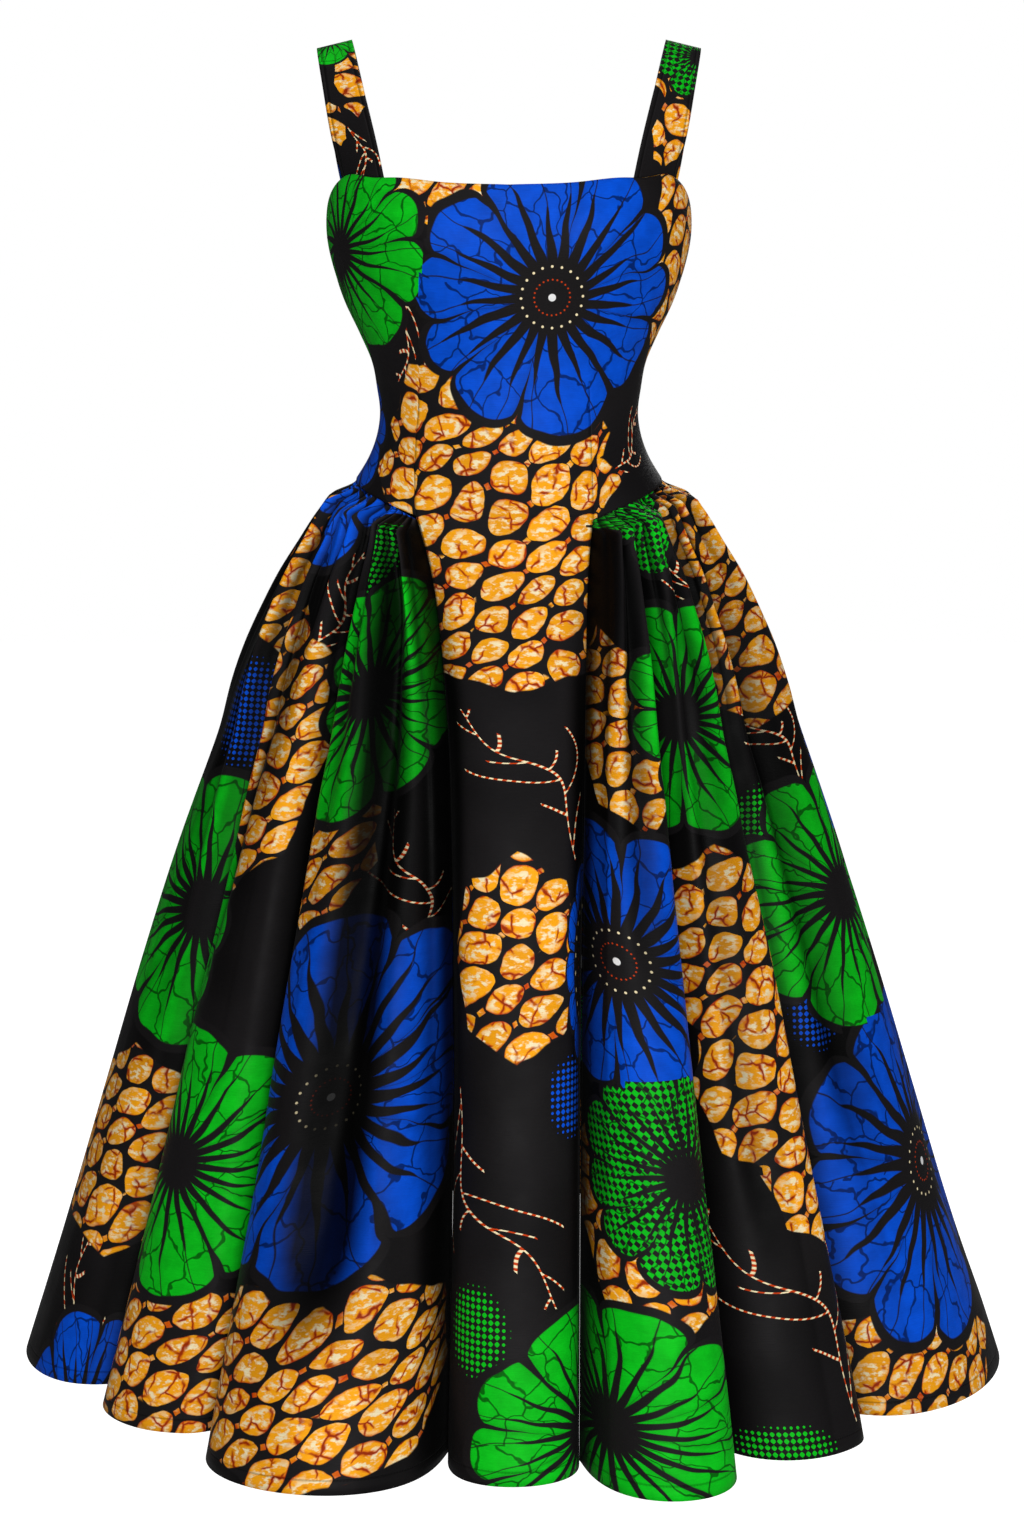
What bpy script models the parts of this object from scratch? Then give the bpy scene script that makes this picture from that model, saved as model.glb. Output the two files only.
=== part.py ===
# Fit and flare dress, hollow as when it is worn, standing upright in metres with +Z up.
# The origin is where the shoulders carry the straps, and the front looks along -Y.
# "left" is the side at -X, which is on the left when the front is looked at.

import math

import bmesh
import bpy
import numpy as np

NAME = "fit_and_flare_dress"

# Cloth
WALL = 0.0015            # thickness of every cloth wall
SEAM_GAP = 0.0003        # space left between two pieces at a seam
HEM_DROP = 1.123         # shoulder to hem, straight down

# Heights are given as a drop below the shoulders.
SIDE_SEAM_DROP = 0.370   # waist seam at the side seams
CORNER_DROP = 0.406      # waist seam where it meets the centre panel
SEAM_CURVE = 1.3         # how late the waist seam dips on its way from the side to the corner

# Sections of the bodice: half width, depth of the front and of the back, squareness of the oval.
BODICE_COLUMNS = ("drop", "half_width", "front", "back", "square")
BODICE_SECTIONS = (
    (0.095, 0.1340, 0.0980, 0.0900, 2.50),
    (0.116, 0.1468, 0.1080, 0.0970, 2.50),
    (0.127, 0.1529, 0.1130, 0.1000, 2.50),
    (0.148, 0.1565, 0.1180, 0.1040, 2.45),
    (0.167, 0.1562, 0.1200, 0.1060, 2.40),
    (0.190, 0.1516, 0.1190, 0.1050, 2.35),
    (0.220, 0.1419, 0.1135, 0.1020, 2.30),
    (0.249, 0.1283, 0.1060, 0.0970, 2.25),
    (0.272, 0.1185, 0.1000, 0.0930, 2.20),
    (0.294, 0.1143, 0.0970, 0.0910, 2.20),
    (0.316, 0.1118, 0.0960, 0.0910, 2.20),
    (0.335, 0.1145, 0.0990, 0.0940, 2.20),
    (0.354, 0.1216, 0.1050, 0.1010, 2.20),
    (0.370, 0.1312, 0.1110, 0.1080, 2.20),
    (0.392, 0.1460, 0.1190, 0.1200, 2.20),
    (0.410, 0.1580, 0.1270, 0.1300, 2.20),
    (0.700, 0.3400, 0.2500, 0.3000, 2.10),
)

WIDEST, WIDTH, DEPTH = 3, 1, 2

# Sections of the gathered skirt at the crests of its folds.
SKIRT_SECTIONS = (
    (0.370, 0.1312, 0.1110, 0.1080, 2.20),
    (0.381, 0.1494, 0.1290, 0.1290, 2.20),
    (0.398, 0.1640, 0.1420, 0.1440, 2.20),
    (0.426, 0.1830, 0.1600, 0.1630, 2.15),
    (0.452, 0.2000, 0.1770, 0.1810, 2.15),
    (0.480, 0.2155, 0.1940, 0.1980, 2.10),
    (0.509, 0.2300, 0.2090, 0.2130, 2.10),
    (0.544, 0.2444, 0.2230, 0.2270, 2.10),
    (0.583, 0.2578, 0.2380, 0.2420, 2.05),
    (0.625, 0.2738, 0.2550, 0.2590, 2.05),
    (0.677, 0.2935, 0.2760, 0.2800, 2.00),
    (0.775, 0.3258, 0.3110, 0.3150, 2.00),
    (0.884, 0.3593, 0.3480, 0.3510, 2.00),
    (1.023, 0.4021, 0.3970, 0.3990, 2.00),
    (1.123, 0.4349, 0.4310, 0.4330, 2.00),
)

# The two long lines of the front: darts above the waist, panel seams below it, by their X.
LINE_COLUMNS = ("drop", "left_x", "right_x")
FRONT_LINES = (
    (0.120, -0.0660, 0.0600),
    (0.283, -0.0750, 0.0667),
    (0.406, -0.0766, 0.0700),
    (0.444, -0.0693, 0.0692),
    (0.548, -0.0582, 0.0685),
    (0.773, -0.0533, 0.0665),
    (1.123, -0.0585, 0.0649),
)

# Top edge of the bodice by angle from the centre front, the same on both sides.
EDGE_COLUMNS = ("degrees", "drop")
TOP_EDGE = (
    (0.0, 0.1330),
    (25.0, 0.1310),
    (44.0, 0.1255),
    (50.0, 0.1250),
    (72.0, 0.1240),
    (80.0, 0.1400),
    (90.0, 0.1560),
    (104.0, 0.1560),
    (112.0, 0.1480),
    (140.0, 0.1480),
    (180.0, 0.1500),
)

# Valleys between the skirt's folds, in order round the skirt from the left side seam.
# waist and hem are angles from the centre front; depth is at the hem. reach, columns and gathered
# belong to the fold that follows the valley: how far its crest stands out of the oval at the hem.
VALLEY_COLUMNS = ("waist", "hem", "depth", "reach", "columns", "gathered")
VALLEYS = (
    (-90.0, -90.0, 0.028, -0.006, 10, 1),
    (-66.0, -60.5, 0.094, -0.020, 10, 1),
    (-48.0, -37.5, 0.104, 0.026, 12, 1),
    (-31.0, -9.0, 0.092, -0.018, 12, 0),
    (31.0, 9.5, 0.070, 0.029, 8, 1),
    (42.0, 26.0, 0.086, -0.005, 8, 1),
    (58.0, 46.5, 0.100, 0.004, 14, 1),
    (90.0, 90.0, 0.030, 0.004, 10, 1),
    (113.0, 117.0, 0.086, -0.014, 10, 1),
    (136.0, 139.0, 0.092, 0.012, 10, 1),
    (158.0, 161.0, 0.080, -0.004, 10, 1),
    (180.0, 180.0, 0.062, 0.008, 10, 1),
    (203.0, 203.0, 0.088, -0.012, 10, 1),
    (225.0, 222.0, 0.092, 0.012, 10, 1),
    (248.0, 247.0, 0.080, -0.006, 10, 1),
    (270.0, 270.0, 0.028, 0.0, 0, 0),
)
SIDE_LEFT, PANEL_LEFT, PANEL_RIGHT, SIDE_RIGHT, CENTRE_BACK, SIDE_LEFT_END = 0, 3, 4, 7, 11, 15

# Rows of the skirt as shares of its length, close together where the gathers are.
SKIRT_ROWS = (0.0, 0.013, 0.032, 0.058, 0.092, 0.135, 0.19, 0.26, 0.345, 0.44, 0.54, 0.65, 0.76, 0.88, 1.0)
GATHER_HEIGHT = 0.0045   # fine gathers at the waist seam
GATHER_FADE = 0.055      # share of the skirt's length over which they run out
GATHER_UNEVEN = 0.35     # how far one gather differs from the next
GATHER_STEP = 2.4        # turn of the unevenness from one column to the next, in radians
FOLD_STEP = 16.8         # and from one fold to the next
PLEAT_HEIGHT = 0.0075    # gathers that have merged in twos below them
PLEAT_DEPTH = 0.0080     # how far the cloth lies back between those
PLEAT_FADE = 0.36
FOLD_SOFTNESS = 0.16     # how round the bottoms of the valleys are
FOLD_GRIP = 0.90         # how far the sides of the folds lean into the valleys at the hem
GRIP_GROWTH = 0.4        # how soon they come to lean, on the way down
FOLD_GROWTH = 0.5        # how soon the valleys come to their depth
PANEL_GROWTH = 0.8       # and those at the two panel seams
POP_DROP = 0.014         # height in which the gathers stand out from the waist seam
PANEL_BLEND = 0.26       # height in which the flat front panel comes up to the folds

# Columns and rows of the bodice's pieces
BODICE_ROWS = 12
FRONT_SIDE_COLUMNS = 9
LINE_TOP_ANGLE = 28.0    # where the front's long lines meet the neckline
BACK_COLUMNS = 11

# Bust: two soft fullnesses over the ribs.
BUST_HEIGHT = 0.011
BUST_ANGLE = 33.0
BUST_SPREAD = 21.0
BUST_DROP = 0.176
BUST_REACH = 0.040

# Straps, from the front edge over the shoulder to the back edge.
STRAP_INNER_ANGLE = 48.0
STRAP_OUTER_ANGLE = 70.0
BACK_INNER_ANGLE = 132.0
BACK_OUTER_ANGLE = 112.0
STRAP_COLUMNS = ("along", "inner_x", "inner_y", "inner_z", "outer_x", "outer_y", "outer_z")
STRAP_SECTIONS = (
    (0.14, 0.1125, -0.0790, -0.0860, 0.1500, -0.0500, -0.0840),
    (0.28, 0.1245, -0.0510, -0.0380, 0.1575, -0.0380, -0.0420),
    (0.39, 0.1320, -0.0240, -0.0080, 0.1625, -0.0200, -0.0150),
    (0.50, 0.1340, 0.0000, 0.0000, 0.1640, 0.0000, -0.0070),
    (0.61, 0.1325, 0.0250, -0.0080, 0.1630, 0.0210, -0.0150),
    (0.73, 0.1255, 0.0500, -0.0420, 0.1590, 0.0370, -0.0450),
    (0.87, 0.1135, 0.0740, -0.1000, 0.1510, 0.0480, -0.0980),
)
STRAP_GAP = 0.0005       # between the strap's ends and the bodice's edge
STRAP_ROWS = 26
STRAP_ACROSS = 4
STRAP_EASE = 0.07        # share of the strap over which it leaves the curve of the bodice's edge

# Concealed zip in the centre back seam.
ZIP_END_DROP = 0.500
ZIP_HALF_WIDTH = 0.011
ZIP_THICK = 0.0010
ZIP_ROWS = 22
ZIP_ACROSS = 4
ZIP_INSET = 0.002        # from the back's top edge to the tape's end
ZIP_FLAT = 0.020         # height above the waist seam below which the tape lies flat across
ZIP_CLEAR = 0.0024       # from the cloth's outer face to the tape
ZIP_SEAM_ROWS = (-0.005, -0.001, 0.003, 0.007)
SLIDER_DROP = 0.164
SLIDER_WIDTH = 0.0070
SLIDER_HEIGHT = 0.0110
SLIDER_THICK = 0.0020
SLIDER_EDGE = 0.0005     # rounding of the slider's edges
SLIDER_LEAN = 0.0004     # extra room, since the cloth behind the slider leans
EAR_WIDTH = 0.0012
EAR_INSET = 0.0002
EAR_REACH = 0.0020       # how far the ears pass the hinge
HINGE_RADIUS = 0.0011
PULL_CLEAR = 0.0004
PULL_LENGTH = 0.0210
PULL_WIDTH = 0.0060
PULL_THICK = 0.0012
PULL_NECK = 0.0036       # length of the narrow stretch between the ears
PULL_STEPS = 12

CLOTH_COLOUR = (0.030, 0.030, 0.034, 1.0)
BLUE_COLOUR = (0.010, 0.070, 0.560, 1.0)
GREEN_COLOUR = (0.010, 0.420, 0.030, 1.0)
GOLD_COLOUR = (0.900, 0.420, 0.050, 1.0)
TAPE_COLOUR = (0.018, 0.018, 0.020, 1.0)
METAL_COLOUR = (0.050, 0.050, 0.055, 1.0)


def column(rows, names, name):
    """One named column of a table, as an array."""
    return np.array([row[names.index(name)] for row in rows], dtype=float)


def smooth(x, xs, ys):
    """A curve through the points (xs, ys) whose slope at each is the mean slope beside it."""
    x = np.clip(np.asarray(x, dtype=float), xs[0], xs[-1])
    slopes = np.gradient(ys, xs)
    i = np.clip(np.searchsorted(xs, x, side="right") - 1, 0, len(xs) - 2)
    step = xs[i + 1] - xs[i]
    s = (x - xs[i]) / step
    return ((1 + 2 * s) * (1 - s) ** 2 * ys[i] + s * (1 - s) ** 2 * step * slopes[i]
            + s ** 2 * (3 - 2 * s) * ys[i + 1] - s ** 2 * (1 - s) * step * slopes[i + 1])


def ease(x):
    """A soft step from 0 to 1."""
    x = np.clip(x, 0.0, 1.0)
    return x * x * (3 - 2 * x)


def oval(theta, drop, sections):
    """Distance from the axis to a rounded oval of the sections, at an angle and a drop."""
    drops = column(sections, BODICE_COLUMNS, "drop")
    half = smooth(drop, drops, column(sections, BODICE_COLUMNS, "half_width"))
    front = smooth(drop, drops, column(sections, BODICE_COLUMNS, "front"))
    back = smooth(drop, drops, column(sections, BODICE_COLUMNS, "back"))
    power = smooth(drop, drops, column(sections, BODICE_COLUMNS, "square"))
    depth = np.where(np.cos(theta) > 0, front, back)
    total = np.abs(np.sin(theta) / half) ** power + np.abs(np.cos(theta) / depth) ** power
    return total ** (-1 / power)


def bodice_radius(theta, drop):
    """The bodice's oval with the two fullnesses of the bust."""
    degrees = np.abs(np.degrees(theta))
    sideways = np.exp(-((degrees - BUST_ANGLE) / BUST_SPREAD) ** 2)
    upright = np.exp(-((drop - BUST_DROP) / BUST_REACH) ** 2)
    return oval(theta, drop, BODICE_SECTIONS) + BUST_HEIGHT * sideways * upright


def seam_drop(theta):
    """Height of the waist seam: level behind, and dipping from the side seams to the centre panel."""
    degrees = np.degrees(np.arccos(np.cos(theta)))
    corner = abs(VALLEYS[PANEL_LEFT][VALLEY_COLUMNS.index("waist")])
    forward = np.clip((90.0 - degrees) / (90.0 - corner), 0.0, 1.0)
    return SIDE_SEAM_DROP + (CORNER_DROP - SIDE_SEAM_DROP) * forward ** SEAM_CURVE


def top_drop(theta):
    """Height of the bodice's top edge."""
    degrees = np.degrees(np.arccos(np.cos(theta)))
    return smooth(degrees, column(TOP_EDGE, EDGE_COLUMNS, "degrees"), column(TOP_EDGE, EDGE_COLUMNS, "drop"))


def panel_radius(theta, drop):
    """The centre panel: the bodice's line at the waist, coming out to the folds lower down."""
    share = ease((drop - CORNER_DROP) / PANEL_BLEND)
    return (1 - share) * bodice_radius(theta, drop) + share * oval(theta, drop, SKIRT_SECTIONS)


def line_angle(side, drop, radius):
    """Angle at which one of the front's two long lines crosses a drop."""
    x = smooth(drop, column(FRONT_LINES, LINE_COLUMNS, "drop"), column(FRONT_LINES, LINE_COLUMNS, side))
    theta = np.arcsin(x / radius(0.0 * x, drop))
    for _ in range(12):
        theta = np.arcsin(x / radius(theta, drop))
    return theta


def gathered_radius(theta, drop):
    """The gathered skirt at its crests, starting on the bodice's lower edge."""
    seam = seam_drop(theta)
    edge = bodice_radius(theta, seam)
    share = ease((drop - seam) / POP_DROP)
    return (1 - share) * edge + share * oval(theta, drop, SKIRT_SECTIONS)


def valley_lines(shares):
    """Angle and radius of each valley on each row of the skirt, as two arrays of rows by valleys."""
    waist = np.radians(column(VALLEYS, VALLEY_COLUMNS, "waist"))
    hem = np.radians(column(VALLEYS, VALLEY_COLUMNS, "hem"))
    depth = column(VALLEYS, VALLEY_COLUMNS, "depth")
    drop = seam_drop(waist) + shares[:, None] * (HEM_DROP - seam_drop(waist))
    widths = oval(math.radians(90), drop, SKIRT_SECTIONS)
    spread = (widths[0] / widths - widths[0] / widths[-1]) / (1 - widths[0] / widths[-1])
    theta = hem + (waist - hem) * spread
    radius = gathered_radius(theta, drop)
    for valley, side in ((PANEL_LEFT, "left_x"), (PANEL_RIGHT, "right_x")):
        theta[:, valley] = line_angle(side, drop[:, valley], panel_radius)
        radius[:, valley] = panel_radius(theta[:, valley], drop[:, valley])
    growth = np.full(len(depth), FOLD_GROWTH)
    growth[[PANEL_LEFT, PANEL_RIGHT]] = PANEL_GROWTH
    radius -= depth * shares[:, None] ** growth
    return theta, radius


def fold_points(first, last):
    """Grid of points over the folds from one valley to another, rows from the waist to the hem."""
    shares = np.array(SKIRT_ROWS)
    line_theta, line_radius = valley_lines(shares)
    waist = np.radians(column(VALLEYS, VALLEY_COLUMNS, "waist"))
    blocks = []
    for fold in range(first, last):
        count = VALLEYS[fold][VALLEY_COLUMNS.index("columns")]
        gathered = VALLEYS[fold][VALLEY_COLUMNS.index("gathered")]
        u = np.arange(count + 1)[None, :] / count
        t = shares[:, None]
        gripped = u - FOLD_GRIP * t ** GRIP_GROWTH * np.sin(2 * np.pi * u) / (2 * np.pi)
        theta = line_theta[:, [fold]] + (line_theta[:, [fold + 1]] - line_theta[:, [fold]]) * gripped
        waist_theta = waist[fold] + (waist[fold + 1] - waist[fold]) * u
        start = seam_drop(waist_theta)
        if not gathered:
            start = np.full_like(start, CORNER_DROP)
        drop = start + SEAM_GAP / 2 * gathered * (1 - t) + t * (HEM_DROP - start)
        crest = gathered_radius(theta, drop) if gathered else panel_radius(theta, drop)
        crest = crest + VALLEYS[fold][VALLEY_COLUMNS.index("reach")] * t
        low = line_radius[:, [fold]] * (1 - u) + line_radius[:, [fold + 1]] * u
        arch = np.sqrt(np.sin(np.pi * u) ** 2 + FOLD_SOFTNESS ** 2) - FOLD_SOFTNESS
        arch = arch / (math.sqrt(1 + FOLD_SOFTNESS ** 2) - FOLD_SOFTNESS)
        radius = arch * crest + (1 - arch) * low
        if gathered:
            radius = radius + gather_waves(fold, count, t)
        blocks.append(np.stack([theta, radius, drop], axis=-1)[:, (0 if fold == first else 1):])
    polar = np.concatenate(blocks, axis=1)
    polar[:, 0, 0] += SEAM_GAP / 2 / polar[:, 0, 1]
    polar[:, -1, 0] -= SEAM_GAP / 2 / polar[:, -1, 1]
    return polar_to_points(polar)


def gather_waves(fold, count, t):
    """Waves of the gathers: one for each two columns at the waist, merged in twos lower down."""
    j = np.arange(count + 1)[None, :]
    uneven = 1 + GATHER_UNEVEN * np.sin(GATHER_STEP * j + FOLD_STEP * fold)
    fine = (j % 2) * uneven * GATHER_HEIGHT * np.exp(-t / GATHER_FADE)
    merged = np.sin(np.pi * j * (count // 4) / count) ** 2
    between = (1 - merged) * np.sin(np.pi * j / count)
    swell = (1 - np.exp(-t / GATHER_FADE)) * np.exp(-(t / PLEAT_FADE) ** 2)
    return fine + (merged * uneven * PLEAT_HEIGHT - between * PLEAT_DEPTH) * swell


def polar_to_points(polar):
    """World points from angle, radius and drop."""
    theta, radius, drop = polar[..., 0], polar[..., 1], polar[..., 2]
    return np.stack([radius * np.sin(theta), -radius * np.cos(theta), -drop], axis=-1)


def bodice_grid(theta_rows, bottom):
    """Grid of points of a bodice piece, from its top edge down to the drops in bottom."""
    share = np.linspace(0.0, 1.0, BODICE_ROWS + 1)[:, None]
    top = top_drop(theta_rows[0])
    drop = top + share * (bottom - top)
    theta = theta_rows
    return np.stack([theta, bodice_radius(theta, drop), drop], axis=-1)


def front_bodice_polar():
    """Angles of the front bodice's columns: side, dart line, centre, dart line, side."""
    share = np.linspace(0.0, 1.0, BODICE_ROWS + 1)
    line_top = top_drop(np.radians(LINE_TOP_ANGLE))
    line_drop = line_top + share * (CORNER_DROP - line_top)
    left = line_angle("left_x", line_drop, bodice_radius)
    right = line_angle("right_x", line_drop, bodice_radius)
    side = math.radians(90.0) - SEAM_GAP / 2 / BODICE_SECTIONS[WIDEST][WIDTH]
    centre_count = VALLEYS[PANEL_LEFT][VALLEY_COLUMNS.index("columns")]
    outer = np.linspace(0.0, 1.0, FRONT_SIDE_COLUMNS + 1)
    inner = np.linspace(0.0, 1.0, centre_count + 1)
    theta = np.concatenate([
        -side + (left[:, None] + side) * outer,
        (left[:, None] + (right - left)[:, None] * inner)[:, 1:],
        (right[:, None] + (side - right)[:, None] * outer)[:, 1:],
    ], axis=1)
    bottom = seam_drop(theta[-1]) - SEAM_GAP / 2
    bottom[FRONT_SIDE_COLUMNS:FRONT_SIDE_COLUMNS + centre_count + 1] = CORNER_DROP
    return bodice_grid(theta, bottom)


def grid_faces(rows, columns, start=0):
    """Quads of a grid of points whose columns run towards +theta, facing out."""
    index = start + np.arange(rows * columns).reshape(rows, columns)
    quads = np.stack([index[1:, :-1], index[1:, 1:], index[:-1, 1:], index[:-1, :-1]], axis=-1)
    return quads.reshape(-1, 4).tolist()


def make_material(name, colour, roughness, metallic=0.0):
    material = bpy.data.materials.new(name)
    material.use_nodes = True
    shader = material.node_tree.nodes["Principled BSDF"]
    shader.inputs["Base Color"].default_value = colour
    shader.inputs["Roughness"].default_value = roughness
    shader.inputs["Metallic"].default_value = metallic
    material.diffuse_color = colour
    return material


def add_object(name, mesh, collection, material):
    part = bpy.data.objects.new(name, mesh)
    part.data.materials.append(material)
    collection.objects.link(part)
    return part


def cloth_shell(name, points, faces, collection, material, thickness=WALL):
    """Open surface given its thickness on the inner side."""
    mesh = bpy.data.meshes.new(name)
    mesh.from_pydata(points.tolist(), [], faces)
    mesh.shade_smooth()
    part = add_object(name, mesh, collection, material)
    wall = part.modifiers.new("Wall", "SOLIDIFY")
    wall.thickness = thickness
    wall.offset = -1.0
    wall.use_even_offset = False
    return part


def build_front_panel(collection, material):
    """Front of the bodice and the skirt's centre panel, one piece from neckline to hem."""
    bodice = polar_to_points(front_bodice_polar())
    panel = fold_points(PANEL_LEFT, PANEL_RIGHT)
    rows, columns = bodice.shape[:2]
    count = panel.shape[1]
    bodice[-1, FRONT_SIDE_COLUMNS:FRONT_SIDE_COLUMNS + count] = panel[0]
    points = np.concatenate([bodice.reshape(-1, 3), panel[1:].reshape(-1, 3)])
    faces = grid_faces(rows, columns)
    joint = (rows - 1) * columns + FRONT_SIDE_COLUMNS + np.arange(count)
    first = rows * columns + np.arange(count)
    faces += np.stack([first[:-1], first[1:], joint[1:], joint[:-1]], axis=-1).tolist()
    faces += grid_faces(panel.shape[0] - 1, count, rows * columns)
    return cloth_shell("front_panel", points, faces, collection, material)


def build_skirt_piece(name, first, last, collection, material):
    """A gathered skirt piece between two seams."""
    points = fold_points(first, last)
    faces = grid_faces(points.shape[0], points.shape[1])
    return cloth_shell(name, points.reshape(-1, 3), faces, collection, material)


def build_back_bodice(name, low, high, collection, material):
    """Half of the back of the bodice, between the centre back and a side seam."""
    gap = SEAM_GAP / 2 / BODICE_SECTIONS[WIDEST][DEPTH]
    theta = np.linspace(math.radians(low) + gap, math.radians(high) - gap, BACK_COLUMNS + 1)
    theta = np.repeat(theta[None, :], BODICE_ROWS + 1, axis=0)
    grid = polar_to_points(bodice_grid(theta, seam_drop(theta[-1]) - SEAM_GAP / 2))
    faces = grid_faces(grid.shape[0], grid.shape[1])
    return cloth_shell(name, grid.reshape(-1, 3), faces, collection, material)


def edge_point(theta):
    """Point just above the bodice's top edge."""
    drop = top_drop(theta) - STRAP_GAP
    return polar_to_points(np.stack([theta, bodice_radius(theta, drop), drop], axis=-1))


def strap_points():
    """Grid of the right strap: rows from the front edge over the shoulder, columns inner to outer."""
    across = np.linspace(0.0, 1.0, STRAP_ACROSS + 1)
    front = edge_point(np.radians(STRAP_INNER_ANGLE + (STRAP_OUTER_ANGLE - STRAP_INNER_ANGLE) * across))
    back = edge_point(np.radians(BACK_INNER_ANGLE + (BACK_OUTER_ANGLE - BACK_INNER_ANGLE) * across))
    along = np.concatenate([[0.0], column(STRAP_SECTIONS, STRAP_COLUMNS, "along"), [1.0]])
    s = np.linspace(0.0, 1.0, STRAP_ROWS + 1)
    edges = []
    for side, end in (("inner", 0), ("outer", -1)):
        axes = []
        for axis, letter in enumerate("xyz"):
            inside = column(STRAP_SECTIONS, STRAP_COLUMNS, side + "_" + letter)
            axes.append(smooth(s, along, np.concatenate([[front[end, axis]], inside, [back[end, axis]]])))
        edges.append(np.stack(axes, axis=-1))
    inner, outer = edges
    grid = inner[:, None] + (outer - inner)[:, None] * across[None, :, None]
    leave = np.exp(-s / STRAP_EASE)[:, None, None] * (1 - s)[:, None, None]
    arrive = np.exp(-(1 - s) / STRAP_EASE)[:, None, None] * s[:, None, None]
    return grid + leave * (front - grid[0])[None] + arrive * (back - grid[-1])[None]


def build_strap(name, mirrored, collection, material):
    points = strap_points()
    if mirrored:
        points = points[:, ::-1] * np.array([-1.0, 1.0, 1.0])
    faces = [face[::-1] for face in grid_faces(points.shape[0], points.shape[1])]
    return cloth_shell(name, points.reshape(-1, 3), faces, collection, material)


def zip_line(drop):
    """Distance behind the axis of the cloth's outer face along the centre back."""
    shares = np.array(SKIRT_ROWS)
    radius = valley_lines(shares)[1][:, CENTRE_BACK]
    skirt = np.interp(drop, SIDE_SEAM_DROP + shares * (HEM_DROP - SIDE_SEAM_DROP), radius)
    return np.where(drop < SIDE_SEAM_DROP, bodice_radius(math.pi, drop), skirt)


def build_zip_tape(collection, material):
    """Tape of the closed zip, inside the centre back seam.

    Its outer face stays ZIP_CLEAR from every point of the cloth's outer face above, beside and below it.
    """
    drop = np.linspace(top_drop(math.pi) + ZIP_INSET, ZIP_END_DROP, ZIP_ROWS + 1)
    drop = np.sort(np.concatenate([drop, SIDE_SEAM_DROP + np.array(ZIP_SEAM_ROWS)]))
    reach = np.linspace(-ZIP_CLEAR, ZIP_CLEAR, 25)
    near = zip_line(drop[:, None] + reach) - np.sqrt(ZIP_CLEAR ** 2 - reach ** 2)
    centre = near.min(axis=1)[:, None]
    across = np.linspace(-ZIP_HALF_WIDTH, ZIP_HALF_WIDTH, ZIP_ACROSS + 1)[None, :]
    theta = across / centre
    sag = centre * (1 - np.cos(theta)) * (drop < SIDE_SEAM_DROP - ZIP_FLAT)[:, None]
    points = np.stack(np.broadcast_arrays(-across, centre - sag, -drop[:, None]), axis=-1)
    faces = grid_faces(points.shape[0], points.shape[1])
    return cloth_shell("zip_tape", points.reshape(-1, 3), faces, collection, material, ZIP_THICK)


def box_mesh(low, high, bevel):
    """A box between two corners, with its edges rounded."""
    shape = bmesh.new()
    bmesh.ops.create_cube(shape, size=1.0)
    size = [b - a for a, b in zip(low, high)]
    middle = [(a + b) / 2 for a, b in zip(low, high)]
    bmesh.ops.scale(shape, vec=size, verts=shape.verts)
    bmesh.ops.translate(shape, vec=middle, verts=shape.verts)
    if bevel:
        bmesh.ops.bevel(shape, geom=shape.edges[:], offset=bevel, segments=2, profile=0.5, affect="EDGES")
    return shape


def slider_face():
    """Y of the slider's inner face, just outside the centre back seam."""
    return float(bodice_radius(math.pi, SLIDER_DROP)) + SEAM_GAP + SLIDER_LEAN


def hinge_place():
    """Y and Z of the pull tab's hinge."""
    return slider_face() + SLIDER_THICK + PULL_CLEAR + HINGE_RADIUS, -SLIDER_DROP - SLIDER_HEIGHT / 4


def mesh_from(shape, name):
    mesh = bpy.data.meshes.new(name)
    bmesh.ops.recalc_face_normals(shape, faces=shape.faces)
    shape.to_mesh(mesh)
    shape.free()
    return mesh


def join_by_union(part, other, collection):
    """Boolean union of a second closed mesh into a part."""
    other.hide_render = True
    other.display_type = "WIRE"
    collection.objects.link(other)
    union = part.modifiers.new("Union", "BOOLEAN")
    union.operation = "UNION"
    union.solver = "EXACT"
    union.object = other


def build_slider(collection, cutters, material):
    """Slider of the zip with two ears that hold the pull tab."""
    wall_y = slider_face()
    hinge_y, hinge_z = hinge_place()
    low = (-SLIDER_WIDTH / 2, wall_y, -SLIDER_DROP - SLIDER_HEIGHT / 2)
    high = (SLIDER_WIDTH / 2, wall_y + SLIDER_THICK, -SLIDER_DROP + SLIDER_HEIGHT / 2)
    plate = mesh_from(box_mesh(low, high, SLIDER_EDGE), "zip_slider")
    body = add_object("zip_slider", plate, collection, material)
    for side in (-1, 1):
        outer = side * (SLIDER_WIDTH / 2 - EAR_INSET)
        inner = outer - side * EAR_WIDTH
        ear_low = (min(outer, inner), wall_y + SLIDER_THICK / 2, hinge_z - EAR_REACH)
        ear_high = (max(outer, inner), hinge_y + EAR_REACH, hinge_z + EAR_REACH)
        ear = bpy.data.objects.new("ear", mesh_from(box_mesh(ear_low, ear_high, 0.0), "ear"))
        join_by_union(body, ear, cutters)
    return body


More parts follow.
